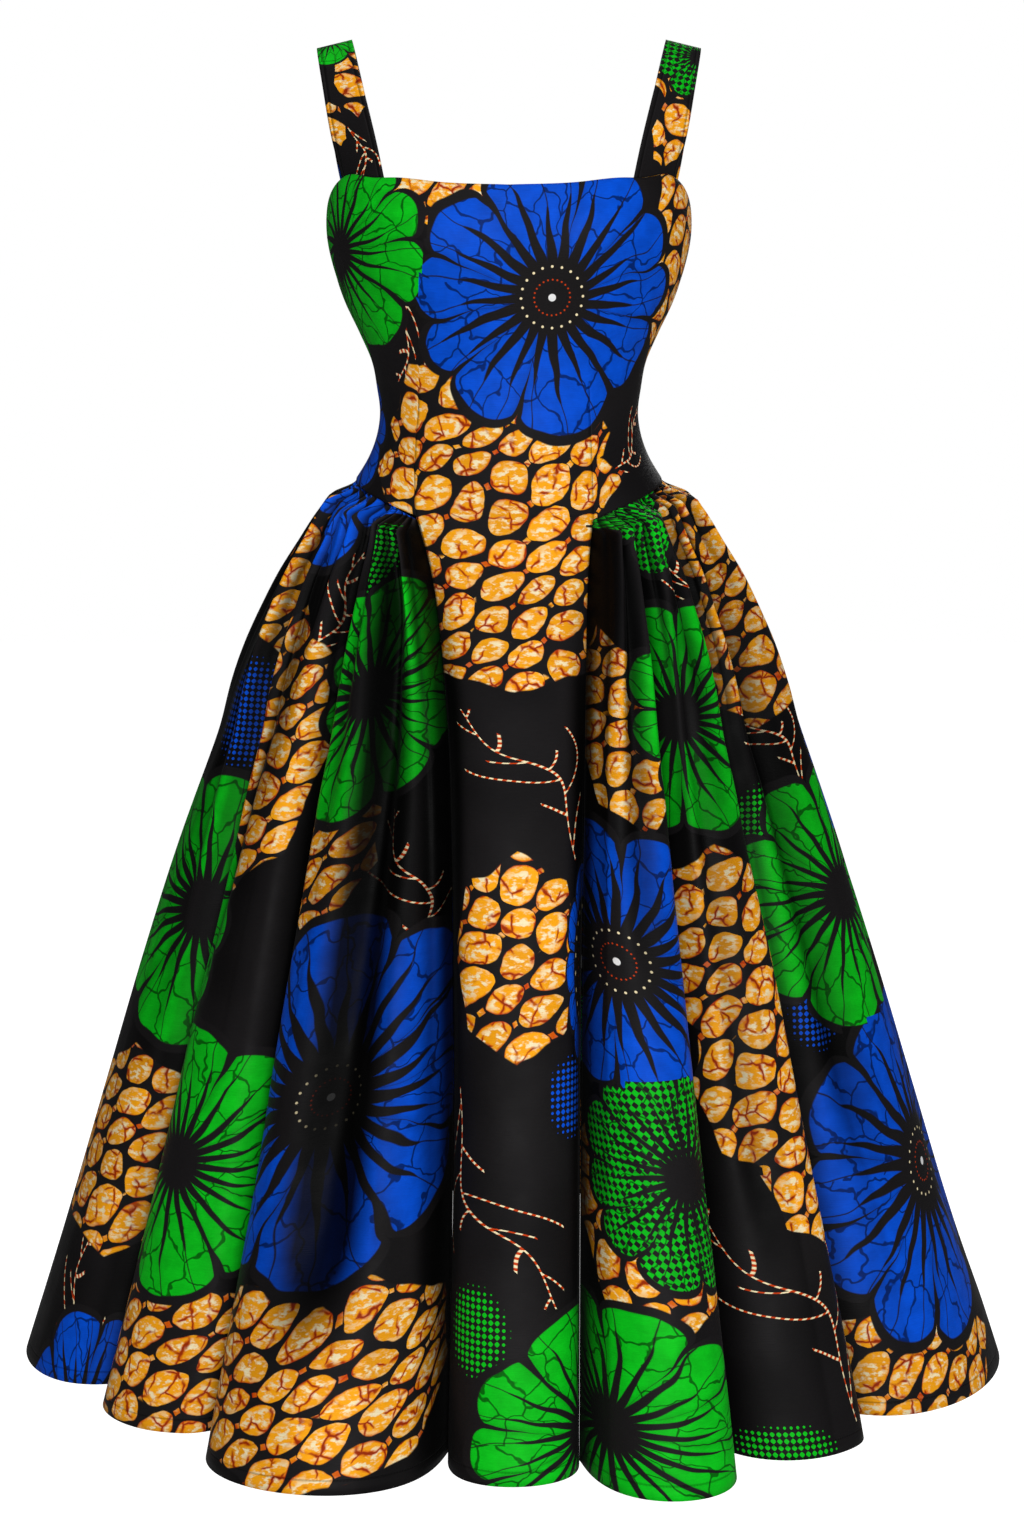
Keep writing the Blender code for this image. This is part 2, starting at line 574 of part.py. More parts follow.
def build_pull(collection, cutters, material):
    """Pull tab, hanging from a barrel between the slider's ears, its origin on the hinge."""
    hinge_y, hinge_z = hinge_place()
    barrel_half = SLIDER_WIDTH / 2 - EAR_INSET - EAR_WIDTH - PULL_CLEAR
    barrel = bmesh.new()
    bmesh.ops.create_cone(barrel, cap_ends=True, segments=16, radius1=HINGE_RADIUS, radius2=HINGE_RADIUS,
                          depth=2 * barrel_half)
    for vertex in barrel.verts:
        vertex.co = (vertex.co.z, vertex.co.x, vertex.co.y)
    part = add_object("zip_pull", mesh_from(barrel, "zip_pull"), collection, material)
    neck = barrel_half - PULL_CLEAR
    outline = [(neck, 0.0), (-neck, 0.0), (-neck, -PULL_NECK)]
    for step in range(PULL_STEPS + 1):
        angle = math.pi * step / PULL_STEPS
        round_z = -PULL_LENGTH + PULL_WIDTH / 2 * (1 - math.sin(angle))
        outline.append((-PULL_WIDTH / 2 * math.cos(angle), round_z))
    outline.append((neck, -PULL_NECK))
    tab = bmesh.new()
    face = tab.faces.new([tab.verts.new((x, -PULL_THICK / 2, z)) for x, z in outline])
    pushed = bmesh.ops.extrude_face_region(tab, geom=[face])
    moved = [item for item in pushed["geom"] if isinstance(item, bmesh.types.BMVert)]
    bmesh.ops.translate(tab, vec=(0.0, PULL_THICK, 0.0), verts=moved)
    tab_object = bpy.data.objects.new("tab", mesh_from(tab, "tab"))
    join_by_union(part, tab_object, cutters)
    part.location = (0.0, hinge_y, hinge_z)
    tab_object.location = part.location
    return part


def main():
    for old in list(bpy.data.objects):
        bpy.data.objects.remove(old, do_unlink=True)
    collection = bpy.data.collections.new(NAME)
    cutters = bpy.data.collections.new("joined_shapes")
    bpy.context.scene.collection.children.link(collection)
    bpy.context.scene.collection.children.link(cutters)

    build_front_panel(collection, make_material("front_print", CLOTH_COLOUR, 0.6))
    build_skirt_piece("skirt_side_left", SIDE_LEFT, PANEL_LEFT, collection,
                      make_material("side_left_print", BLUE_COLOUR, 0.6))
    build_skirt_piece("skirt_side_right", PANEL_RIGHT, SIDE_RIGHT, collection,
                      make_material("side_right_print", BLUE_COLOUR, 0.6))
    build_skirt_piece("skirt_back_right", SIDE_RIGHT, CENTRE_BACK, collection,
                      make_material("back_right_print", GREEN_COLOUR, 0.6))
    build_skirt_piece("skirt_back_left", CENTRE_BACK, SIDE_LEFT_END, collection,
                      make_material("back_left_print", GREEN_COLOUR, 0.6))
    build_back_bodice("bodice_back_right", 90.0, 180.0, collection,
                      make_material("bodice_right_print", GOLD_COLOUR, 0.6))
    build_back_bodice("bodice_back_left", 180.0, 270.0, collection,
                      make_material("bodice_left_print", GOLD_COLOUR, 0.6))
    build_strap("strap_right", False, collection, make_material("strap_right_print", GREEN_COLOUR, 0.6))
    build_strap("strap_left", True, collection, make_material("strap_left_print", GREEN_COLOUR, 0.6))
    build_zip_tape(collection, make_material("zip_tape_cloth", TAPE_COLOUR, 0.8))
    metal = make_material("zip_slider_metal", METAL_COLOUR, 0.35, 1.0)
    build_slider(collection, cutters, metal)
    build_pull(collection, cutters, make_material("zip_pull_metal", METAL_COLOUR, 0.35, 1.0))


if __name__ == "__main__":
    main()
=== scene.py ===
import math

import bpy
import numpy as np
from bpy.props import FloatProperty, FloatVectorProperty, IntProperty, PointerProperty
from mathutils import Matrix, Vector


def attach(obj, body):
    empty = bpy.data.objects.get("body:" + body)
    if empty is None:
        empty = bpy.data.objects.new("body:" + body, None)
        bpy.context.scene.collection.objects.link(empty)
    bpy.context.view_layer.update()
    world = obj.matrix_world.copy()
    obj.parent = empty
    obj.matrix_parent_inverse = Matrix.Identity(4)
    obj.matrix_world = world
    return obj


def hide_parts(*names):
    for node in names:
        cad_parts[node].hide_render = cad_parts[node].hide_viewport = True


# Looks of a fit and flare dress: printed cotton with a fitted bodice and a full gathered skirt.
# Metres, +Z up, the front looks along -Y and "left" is the side at -X. The dress stands as when
# it is worn, and every piece of cloth lies on the form of its solid in the frame.

bl_info = {
    "name": "Fit and flare dress",
    "version": (1, 0, 0),
    "blender": (4, 5, 0),
    "location": "View3D > Sidebar > Dress",
    "description": "Printed cloth, gathers, sewing, zip and stage of a fit and flare dress",
    "category": "Object",
}

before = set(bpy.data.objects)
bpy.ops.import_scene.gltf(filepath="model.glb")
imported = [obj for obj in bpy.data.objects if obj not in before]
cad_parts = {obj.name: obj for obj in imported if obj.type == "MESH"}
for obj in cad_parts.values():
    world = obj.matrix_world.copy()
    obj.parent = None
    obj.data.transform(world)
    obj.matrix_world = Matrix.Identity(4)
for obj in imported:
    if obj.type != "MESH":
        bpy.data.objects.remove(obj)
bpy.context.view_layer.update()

DRESS = "dress"
CLOTH_SLOT = "printed_cotton"

# Heights are given as a drop below the shoulders.
HEM_DROP = 1.123
SIDE_SEAM_DROP = 0.370  # waist seam at the side seams
CORNER_DROP = 0.406  # waist seam where it meets the centre panel
SEAM_CURVE = 1.3  # how late the waist seam dips on its way from the side to the corner
SEAM_GAP = 0.0001  # space left between two pieces at a seam


def table(names, rows):
    """The named columns of a table, each as an array."""
    return dict(zip(names.split(), np.array(rows, dtype=float).T))


# Sections: half width, depth of the front and of the back, squareness of the oval.
SECTION_COLUMNS = "drop half_width front back square"
BODICE_SECTIONS = table(SECTION_COLUMNS, (
    (0.095, 0.1340, 0.0980, 0.0900, 2.50),
    (0.116, 0.1468, 0.1080, 0.0970, 2.50),
    (0.127, 0.1529, 0.1130, 0.1000, 2.50),
    (0.148, 0.1565, 0.1180, 0.1040, 2.45),
    (0.167, 0.1562, 0.1200, 0.1060, 2.40),
    (0.190, 0.1516, 0.1190, 0.1050, 2.35),
    (0.220, 0.1419, 0.1135, 0.1020, 2.30),
    (0.249, 0.1283, 0.1060, 0.0970, 2.25),
    (0.272, 0.1185, 0.1000, 0.0930, 2.20),
    (0.294, 0.1143, 0.0970, 0.0910, 2.20),
    (0.316, 0.1118, 0.0960, 0.0910, 2.20),
    (0.335, 0.1145, 0.0990, 0.0940, 2.20),
    (0.354, 0.1216, 0.1050, 0.1010, 2.20),
    (0.370, 0.1312, 0.1110, 0.1080, 2.20),
    (0.392, 0.1460, 0.1190, 0.1200, 2.20),
    (0.410, 0.1580, 0.1270, 0.1300, 2.20),
    (0.700, 0.3400, 0.2500, 0.3000, 2.10),
))

# Sections of the gathered skirt at the crests of its folds.
SKIRT_SECTIONS = table(SECTION_COLUMNS, (
    (0.370, 0.1312, 0.1110, 0.1080, 2.20),
    (0.381, 0.1494, 0.1290, 0.1290, 2.20),
    (0.398, 0.1640, 0.1420, 0.1440, 2.20),
    (0.426, 0.1830, 0.1600, 0.1630, 2.15),
    (0.452, 0.2000, 0.1770, 0.1810, 2.15),
    (0.480, 0.2155, 0.1940, 0.1980, 2.10),
    (0.509, 0.2300, 0.2090, 0.2130, 2.10),
    (0.544, 0.2444, 0.2230, 0.2270, 2.10),
    (0.583, 0.2578, 0.2380, 0.2420, 2.05),
    (0.625, 0.2738, 0.2550, 0.2590, 2.05),
    (0.677, 0.2935, 0.2760, 0.2800, 2.00),
    (0.775, 0.3258, 0.3110, 0.3150, 2.00),
    (0.884, 0.3593, 0.3480, 0.3510, 2.00),
    (1.023, 0.4021, 0.3970, 0.3990, 2.00),
    (1.123, 0.4349, 0.4310, 0.4330, 2.00),
))

# The two long lines of the front: darts above the waist, panel seams below it, by their X.
FRONT_LINES = table("drop left_x right_x", (
    (0.120, -0.0660, 0.0600),
    (0.283, -0.0750, 0.0667),
    (0.406, -0.0766, 0.0700),
    (0.444, -0.0693, 0.0692),
    (0.548, -0.0582, 0.0685),
    (0.773, -0.0533, 0.0665),
    (1.123, -0.0585, 0.0649),
))

# Top edge of the bodice by angle from the centre front, the same on both sides.
TOP_EDGE = table("degrees drop", (
    (0.0, 0.1330),
    (25.0, 0.1310),
    (44.0, 0.1255),
    (50.0, 0.1250),
    (72.0, 0.1240),
    (80.0, 0.1400),
    (90.0, 0.1560),
    (104.0, 0.1560),
    (112.0, 0.1480),
    (140.0, 0.1480),
    (180.0, 0.1500),
))

# Valleys between the skirt's folds, in order round the skirt from the left side seam. waist and
# hem are angles from the centre front, and depth is at the hem. reach and gathers belong to the
# fold that follows the valley: how far its crest stands out of the oval at the hem, and how many
# fine gathers it starts with at the waist seam.
VALLEYS = table("waist hem depth reach gathers", (
    (-90.0, -90.0, 0.028, -0.006, 5),
    (-66.0, -60.5, 0.094, -0.020, 5),
    (-48.0, -37.5, 0.104, 0.026, 6),
    (-31.0, -9.0, 0.092, -0.018, 0),
    (31.0, 9.5, 0.070, 0.029, 4),
    (42.0, 26.0, 0.086, -0.005, 4),
    (58.0, 46.5, 0.100, 0.004, 7),
    (90.0, 90.0, 0.030, 0.004, 5),
    (113.0, 117.0, 0.086, -0.014, 5),
    (136.0, 139.0, 0.092, 0.012, 5),
    (158.0, 161.0, 0.080, -0.004, 5),
    (180.0, 180.0, 0.062, 0.008, 5),
    (203.0, 203.0, 0.088, -0.012, 5),
    (225.0, 222.0, 0.092, 0.012, 5),
    (248.0, 247.0, 0.080, -0.006, 5),
    (270.0, 270.0, 0.028, 0.0, 0),
))
SIDE_LEFT, PANEL_LEFT, PANEL_RIGHT, SIDE_RIGHT, CENTRE_BACK, SIDE_LEFT_END = 0, 3, 4, 7, 11, 15

SKIRT_ROWS = 170
ROW_GROWTH = 1.35  # rows lie closer together towards the waist
GATHER_START = 0.004  # share of the skirt's length in which the gathers rise from the seam
GATHER_RISE = 0.020  # and in which they grow to their full height
GATHER_FADE = 0.100  # share of the skirt's length over which the gathers run out
GATHER_UNEVEN = 0.38  # how far one gather differs from the next
GATHER_STEP = 4.8  # turn of the unevenness from one gather to the next, in radians
FOLD_STEP = 16.8  # and from one fold to the next
PLEAT_HEIGHT = 0.0085  # gathers that have merged in twos below them
PLEAT_DEPTH = 0.0095  # how far the cloth lies back between those
PLEAT_FADE = 0.36
FOLD_SOFTNESS = 0.16  # how round the bottoms of the valleys are
FOLD_GRIP = 0.90  # how far the sides of the folds lean into the valleys at the hem
GRIP_GROWTH = 0.4  # how soon they come to lean, on the way down
FOLD_GROWTH = 0.5  # how soon the valleys come to their depth
PANEL_GROWTH = 0.8  # and those at the two panel seams
SHADED_ARCH = 0.72  # height of the fold's arch below which shade falls, as a share
SHADE_FALL = 0.60  # and how far below that it is full
GATHER_WANDER = 0.16  # how far a gather lies beside its even place, in gathers
GATHER_ROUND = 0.7  # power of its rounded ridge
GATHER_BASE = 0.45  # share of a gather's height that lies inside the cloth's mean face
GATHER_AT_ONCE = 0.4  # share of its height that it has right below the seam
FADE_UNEVEN, FADE_STEP, FADE_FOLD_STEP = 0.7, 2.3, 5.1  # the same unevenness for its length
GATHER_SHADE_REACH = 3.0 # how much longer the shade between two gathers is than they are
VALLEY_SHADE = 0.95  # how much darker the cloth is at the bottom of a valley
VALLEY_DARK = 0.030  # depth at which a valley is that dark, in metres
CREASE_SHADE = 0.97  # the same for a crease
CREASE_DARK = 0.017
GATHER_SHADE = 0.92  # and between two gathers
GATHER_HIGHLIGHT = 0.40  # painted highlight: how much lighter the gathers' tops are painted at the waist seam
POP_DROP = 0.014  # height in which the gathers stand out from the waist seam
PANEL_BLEND = 0.26  # height in which the flat front panel comes up to the folds

# Creases that run down single folds. across is their place between the fold's two valleys, and
# start and end are shares of the skirt's length. A negative depth is a ridge.
CREASES = table("fold across_top across_hem start end depth half_width", (
    (0, 0.62, 0.70, 0.06, 0.70, 0.0060, 0.050),
    (0, 0.30, 0.26, 0.20, 0.95, 0.0040, 0.070),
    (1, 0.40, 0.36, 0.05, 0.60, 0.0060, 0.060),
    (1, 0.72, 0.76, 0.30, 1.10, -0.0040, 0.060),
    (2, 0.575, 0.50, -0.02, 0.90, 0.0320, 0.084),
    (2, 0.78, 0.82, 0.10, 0.80, 0.0060, 0.045),
    (2, 0.26, 0.22, 0.16, 0.75, -0.0040, 0.060),
    (4, 0.50, 0.46, 0.05, 0.55, 0.0060, 0.080),
    (5, 0.36, 0.40, 0.06, 0.85, 0.0080, 0.070),
    (5, 0.70, 0.64, 0.35, 1.10, -0.0040, 0.080),
    (6, 0.30, 0.32, 0.05, 0.80, 0.0110, 0.055),
    (6, 0.58, 0.60, 0.12, 0.95, 0.0070, 0.060),
    (7, 0.40, 0.44, 0.05, 0.75, 0.0070, 0.060),
    (8, 0.58, 0.55, 0.05, 0.90, 0.0090, 0.070),
    (9, 0.34, 0.36, 0.08, 0.65, 0.0070, 0.060),
    (9, 0.66, 0.70, 0.30, 1.10, -0.0040, 0.070),
    (10, 0.50, 0.54, 0.05, 0.80, 0.0080, 0.070),
    (11, 0.42, 0.40, 0.06, 0.85, 0.0080, 0.065),
    (12, 0.62, 0.60, 0.05, 0.70, 0.0070, 0.060),
    (12, 0.30, 0.28, 0.30, 1.10, -0.0040, 0.070),
    (13, 0.44, 0.48, 0.05, 0.92, 0.0090, 0.070),
    (14, 0.56, 0.58, 0.08, 0.75, 0.0060, 0.060),
))
CREASE_FADE = 0.16  # share of the skirt's length over which a crease starts and ends

# Bodice
BODICE_ROWS = 110
FRONT_SIDE_COLUMNS = 60
LINE_TOP_ANGLE = 28.0  # where the front's long lines meet the neckline
BUST_HEIGHT = 0.011  # height, angle, spread, drop and reach of each side of the bust
BUST_ANGLE = 33.0
BUST_SPREAD = 21.0
BUST_DROP = 0.176
BUST_REACH = 0.040
DART_TOP, DART_FADE = 0.30, 0.03  # drop above which the dart's line fades, and how fast
DART_OFF = 0.01  # distance given to a point above it, which has no dart's line
BODICE_CREASES = table("degrees drop slope depth long wide", (
    (-58.0, 0.300, 0.0006, 0.0009, 18.0, 0.006),
    (-40.0, 0.322, 0.0004, 0.0007, 16.0, 0.005),
    (56.0, 0.306, -0.0006, 0.0009, 18.0, 0.006),
    (42.0, 0.334, -0.0004, 0.0007, 15.0, 0.005),
    (-74.0, 0.215, 0.0012, 0.0010, 12.0, 0.008),
    (73.0, 0.222, -0.0012, 0.0010, 12.0, 0.008),
    (122.0, 0.300, 0.0006, 0.0010, 20.0, 0.006),
    (151.0, 0.325, 0.0004, 0.0008, 16.0, 0.005),
    (236.0, 0.304, -0.0006, 0.0010, 20.0, 0.006),
    (208.0, 0.329, -0.0004, 0.0008, 16.0, 0.005),
))
BACK_COLUMNS = 71  # points across half of the back
SIDE_RADIUS = 0.15  # about the bodice's radius at the side seams and at the centre back
BACK_RADIUS = 0.10

# Straps, from the front edge over the shoulder to the back edge.
STRAP_INNER_ANGLE = 48.0
STRAP_OUTER_ANGLE = 70.0
BACK_INNER_ANGLE = 132.0
BACK_OUTER_ANGLE = 112.0
STRAP_SECTIONS = table("along inner_x inner_y inner_z outer_x outer_y outer_z", (
    (0.14, 0.1125, -0.0790, -0.0860, 0.1500, -0.0500, -0.0840),
    (0.28, 0.1245, -0.0510, -0.0380, 0.1575, -0.0380, -0.0420),
    (0.39, 0.1320, -0.0240, -0.0080, 0.1625, -0.0200, -0.0150),
    (0.50, 0.1340, 0.0000, 0.0000, 0.1640, 0.0000, -0.0070),
    (0.61, 0.1325, 0.0250, -0.0080, 0.1630, 0.0210, -0.0150),
    (0.73, 0.1255, 0.0500, -0.0420, 0.1590, 0.0370, -0.0450),
    (0.87, 0.1135, 0.0740, -0.1000, 0.1510, 0.0480, -0.0980),
))
STRAP_GAP = 0.0005  # between the strap's ends and the bodice's edge
STRAP_ROWS = 120
STRAP_ACROSS = 20
STRAP_EASE = 0.07  # share of the strap over which it leaves the curve of the bodice's edge
STRAP_STITCH = 0.004  # from a strap's edge to its stitches

# Concealed zip in the centre back seam.
ZIP_END_DROP = 0.500
ZIP_HALF_WIDTH = 0.011
ZIP_ROWS = 90
ZIP_ACROSS = 12
ZIP_INSET = 0.002  # from the back's top edge to the tape's end
ZIP_FLAT = 0.020  # height above the waist seam below which the tape lies flat across
ZIP_CLEAR = 0.0024  # from the cloth's outer face to the tape
TOOTH_PITCH = 0.0024
TOOTH_SIZE = (0.0042, 0.0010, 0.0013)
TOOTH_LEAN = 0.10  # radians
TOOTH_OFF = 0.3  # how far a tooth's middle lies beside the line, as a share of its width
TEETH_MARGIN = 0.006  # from either end of the tape to the teeth
TAPE_THICKNESS = 0.0006

# The photograph's frame and the camera that took it.
IMAGE_WIDTH, IMAGE_HEIGHT = 1024, 1536
CAMERA_TARGET = (0.0026, 0.0, -0.626)
CAMERA_DISTANCE = 2.4
CAMERA_PITCH = 6.25  # degrees down
CAMERA_LENS = 63.92  # mm, on a sensor of 36 mm along the frame's long side
SENSOR = 36.0
STAGE_MIDDLE = (0.0, 0.0, -0.6)
FLOOR_SIZE = 14.0  # half the floor's side

FAR = 9.0  # a distance beyond every seam and motif
EYE_RING = 0.0255  # radius of the ring of cream dots in a flower's eye
BLUE, GREEN, GREEN_NET = 0.0, 1.0, 3.0

# Motifs of the print by piece and kind. A motif's middle is the pixel of the photograph's frame
# where it lies on its piece, or else its place on the cloth: across from the middle of the piece,
# and down from its top edge or along a strap from its front end. wide and tall are its half sizes
# in metres, and turn is in degrees. A motif without a tall is as tall as it is wide.
PIXEL_PLACE = ("image_x", "image_y")
CLOTH_PLACE = ("across", "down")
MOTIF_COLUMNS = {
    "flower": ("wide", "tall", "turn", "tone"),
    "gold": ("wide", "tall", "turn"),
    "net": ("wide", "tall", "tone"),
    "sprig": ("wide", "turn"),
}
FRONT_MOTIFS = {
    "front_panel": {
        "flower": [(556, 303, 0.116, 0.114, 8, BLUE), (334, 256, 0.104, 0.092, -20, GREEN),
                   (586, 1425, 0.112, 0.096, 0, GREEN), (590, 962, 0.026, 0.08, 0, BLUE)],
        "gold": [(436, 192, 0.056, 0.026, 10), (686, 262, 0.052, 0.1), (486, 440, 0.11, 0.084),
                 (484, 484, 0.128, 0.052), (508, 596, 0.17, 0.082), (512, 956, 0.06, 0.084)],
        "sprig": [(418, 340, 0.052, -150), (634, 436, 0.038, 60), (524, 782, 0.076, -38),
                  (500, 1195, 0.088, 152)],
        "net": [(470, 1328, 0.036, 0.044, GREEN), (576, 1098, 0.028, 0.04, BLUE)],
    },
    "skirt_side_left": {
        "flower": [(374, 690, 0.104, 0.11, 14, GREEN), (334, 1098, 0.158, 0.15, 0, BLUE),
                   (198, 905, 0.124, 0.116, 30, GREEN), (170, 1162, 0.128, 0.108, 10, GREEN)],
        "gold": [(300, 560, 0.06, 0.082), (264, 745, 0.066, 0.122), (318, 856, 0.05, 0.062),
                 (112, 1150, 0.11, 0.088), (160, 1376, 0.12, 0.082), (306, 1388, 0.148, 0.086)],
        "net": [(388, 552, 0.022, 0.048, GREEN), (236, 712, 0.056, 0.06, BLUE)],
        "sprig": [(392, 900, 0.078, -28), (330, 600, 0.05, 16), (60, 1300, 0.06, 20)],
    },
    "skirt_side_right": {
        "flower": [(680, 712, 0.106, 0.1, 0, GREEN), (612, 962, 0.124, 0.114, 12, BLUE),
                   (846, 886, 0.118, 0.108, 25, GREEN), (926, 1160, 0.136, 0.144, 0, BLUE),
                   (694, 1180, 0.096, 0.09, 0, GREEN_NET), (604, 1425, 0.15, 0.096, 0, GREEN)],
        "gold": [(690, 520, 0.06, 0.05), (752, 620, 0.082, 0.09), (628, 728, 0.058, 0.088),
                 (735, 945, 0.074, 0.084), (768, 1082, 0.062, 0.076), (815, 1165, 0.054, 0.06),
                 (640, 1222, 0.084, 0.09), (926, 1366, 0.13, 0.052)],
        "net": [(768, 822, 0.034, 0.04, GREEN), (820, 1000, 0.036, 0.046, BLUE),
                (786, 1446, 0.056, 0.026, GREEN)],
        "sprig": [(792, 1325, 0.098, -34), (690, 600, 0.06, -10), (770, 745, 0.05, -40)],
    },
}

# Most of these are on the sides that don't show.
BACK_MOTIFS = {
    "front_panel": {
        "flower": [(-0.214, 0.226, 0.082, 0.078, 0, BLUE)],
    },
    "skirt_side_left": {
        "flower": [(-0.02, -0.04, 0.084, 0.124, 0, BLUE), (-0.185, 0.836, 0.07, 0.104, 0, BLUE)],
    },
    "skirt_side_right": {
        "flower": [(-0.034, -0.034, 0.08, 0.112, 0, GREEN_NET)],
    },
    "strap_left": {
        "flower": [(-0.004, 0.146, 0.04, 0.036, 20, GREEN), (0.012, 0.3, 0.046, 0.044, 0, BLUE)],
        "gold": [(0.01, 0.088, 0.017, 0.036), (-0.016, 0.048, 0.012, 0.022), (0.0, 0.232, 0.03, 0.044)],
        "sprig": [(0.002, 0.012, 0.03, 10)],
    },
    "strap_right": {
        "flower": [(0.014, 0.122, 0.034, 0.048, 0, GREEN_NET), (-0.008, 0.215, 0.042, 0.044, 0, BLUE)],
        "gold": [(-0.008, 0.11, 0.016, 0.04), (0.006, 0.04, 0.022, 0.036), (0.006, 0.285, 0.03, 0.034)],
    },
    "bodice_back_right": {
        "flower": [(-0.02, 0.092, 0.088, 0.086, 0, GREEN)],
        "gold": [(0.08, 0.176, 0.09, 0.066), (-0.092, 0.03, 0.036, 0.07)],
        "net": [(0.086, 0.04, 0.04, 0.046, BLUE)],
        "sprig": [(-0.07, 0.19, 0.05, 30)],
    },
    "bodice_back_left": {
        "flower": [(0.03, 0.104, 0.098, 0.1, 0, BLUE)],
        "gold": [(-0.076, 0.172, 0.08, 0.07), (-0.08, 0.034, 0.06, 0.04)],
        "sprig": [(0.066, 0.206, 0.044, -30)],
    },
    "skirt_back_right": {
        "flower": [(-0.33, 0.25, 0.12, 0.11, 0, BLUE), (-0.07, 0.15, 0.12, 0.104, 20, GREEN),
                   (0.19, 0.33, 0.14, 0.13, 0, BLUE), (-0.16, 0.48, 0.13, 0.11, -15, GREEN),
                   (0.4, 0.56, 0.12, 0.112, 10, GREEN), (0.13, 0.64, 0.14, 0.12, 0, BLUE),
                   (-0.4, 0.64, 0.12, 0.12, 0, GREEN_NET)],
        "gold": [(-0.2, 0.07, 0.09, 0.07), (0.14, 0.12, 0.1, 0.08), (-0.18, 0.32, 0.1, 0.08),
                 (0.37, 0.38, 0.09, 0.09), (0.0, 0.47, 0.08, 0.09), (-0.16, 0.71, 0.13, 0.08),
                 (0.36, 0.76, 0.14, 0.06)],
        "net": [(0.05, 0.27, 0.05, 0.06, GREEN), (-0.29, 0.44, 0.05, 0.06, BLUE),
                (0.27, 0.48, 0.04, 0.05, BLUE)],
        "sprig": [(-0.01, 0.33, 0.08, 20), (-0.02, 0.62, 0.09, -30), (-0.28, 0.56, 0.08, 40)],
    },
    "skirt_back_left": {
        "flower": [(0.32, 0.2, 0.11, 0.104, 0, GREEN), (0.06, 0.23, 0.13, 0.124, 0, BLUE),
                   (-0.22, 0.32, 0.12, 0.11, 15, GREEN), (0.22, 0.48, 0.14, 0.13, 0, BLUE),
                   (-0.06, 0.56, 0.12, 0.11, -20, GREEN), (-0.34, 0.58, 0.14, 0.13, 0, BLUE),
                   (0.44, 0.68, 0.12, 0.11, 0, GREEN)],
        "gold": [(0.19, 0.08, 0.1, 0.07), (-0.13, 0.13, 0.09, 0.08), (0.33, 0.36, 0.09, 0.07),
                 (-0.06, 0.4, 0.08, 0.08), (0.12, 0.7, 0.12, 0.09), (-0.2, 0.74, 0.13, 0.07),
                 (-0.38, 0.4, 0.08, 0.08)],
        "net": [(0.4, 0.5, 0.05, 0.06, GREEN), (-0.2, 0.48, 0.05, 0.05, BLUE),
                (0.29, 0.64, 0.05, 0.06, GREEN)],
        "sprig": [(0.09, 0.4, 0.08, -20), (-0.19, 0.61, 0.08, 30), (0.32, 0.74, 0.07, 20)],
    },
}


def spaced(count):
    """The ends of equal steps from 0 to 1."""
    return np.linspace(0.0, 1.0, count + 1)


def mix(first, second, share):
    """A value between two: first + (second - first) share."""
    return first + (second - first) * share


def smooth(x, xs, ys):
    """A curve through the points (xs, ys) whose slope at each is the mean slope beside it."""
    x = np.clip(np.asarray(x, dtype=float), xs[0], xs[-1])
    slopes = np.gradient(ys, xs)
    i = np.clip(np.searchsorted(xs, x, side="right") - 1, 0, len(xs) - 2)
    step = xs[i + 1] - xs[i]
    s = (x - xs[i]) / step
    return ((1 + 2 * s) * (1 - s) ** 2 * ys[i] + s * (1 - s) ** 2 * step * slopes[i]
            + s ** 2 * (3 - 2 * s) * ys[i + 1] - s ** 2 * (1 - s) * step * slopes[i + 1])


def ease(x):
    """A soft step from 0 to 1: 3x^2 - 2x^3."""
    x = np.clip(x, 0.0, 1.0)
    return x * x * (3 - 2 * x)


def oval(theta, drop, sections):
    """Radius of a superellipse: (|sin/width|^n + |cos/depth|^n)^(-1/n), its sizes read at the drop."""
    half, front, back, power = (smooth(drop, sections["drop"], sections[name])
                                for name in ("half_width", "front", "back", "square"))
    depth = np.where(np.cos(theta) > 0, front, back)
    return (np.abs(np.sin(theta) / half) ** power + np.abs(np.cos(theta) / depth) ** power) ** (-1 / power)


def bodice_radius(theta, drop):
    """The bodice's oval, plus a bell curve in angle and height for each side of the bust."""
    degrees = np.abs(np.degrees(theta))
    sideways = np.exp(-((degrees - BUST_ANGLE) / BUST_SPREAD) ** 2)
    upright = np.exp(-((drop - BUST_DROP) / BUST_REACH) ** 2)
    return oval(theta, drop, BODICE_SECTIONS) + BUST_HEIGHT * sideways * upright


def seam_drop(theta):
    """Height of the waist seam: level behind, and dipping by a power law from the sides to the front."""
    degrees = np.degrees(np.arccos(np.cos(theta)))
    forward = np.clip((90.0 - degrees) / (90.0 - abs(VALLEYS["waist"][PANEL_LEFT])), 0.0, 1.0)
    return mix(SIDE_SEAM_DROP, CORNER_DROP, forward ** SEAM_CURVE)


def top_drop(theta):
    """Height of the bodice's top edge, a smooth curve through its table."""
    return smooth(np.degrees(np.arccos(np.cos(theta))), TOP_EDGE["degrees"], TOP_EDGE["drop"])


def panel_radius(theta, drop):
    """The centre panel: the bodice's line at the waist, eased out to the folds lower down."""
    share = ease((drop - CORNER_DROP) / PANEL_BLEND)
    return mix(bodice_radius(theta, drop), oval(theta, drop, SKIRT_SECTIONS), share)


def line_angle(side, drop, radius):
    """Angle where a long line of the front crosses a drop, by repeating arcsin(x / radius)."""
    x = smooth(drop, FRONT_LINES["drop"], FRONT_LINES[side])
    theta = 0.0 * x
    for _ in range(13):
        theta = np.arcsin(x / radius(theta, drop))
    return theta


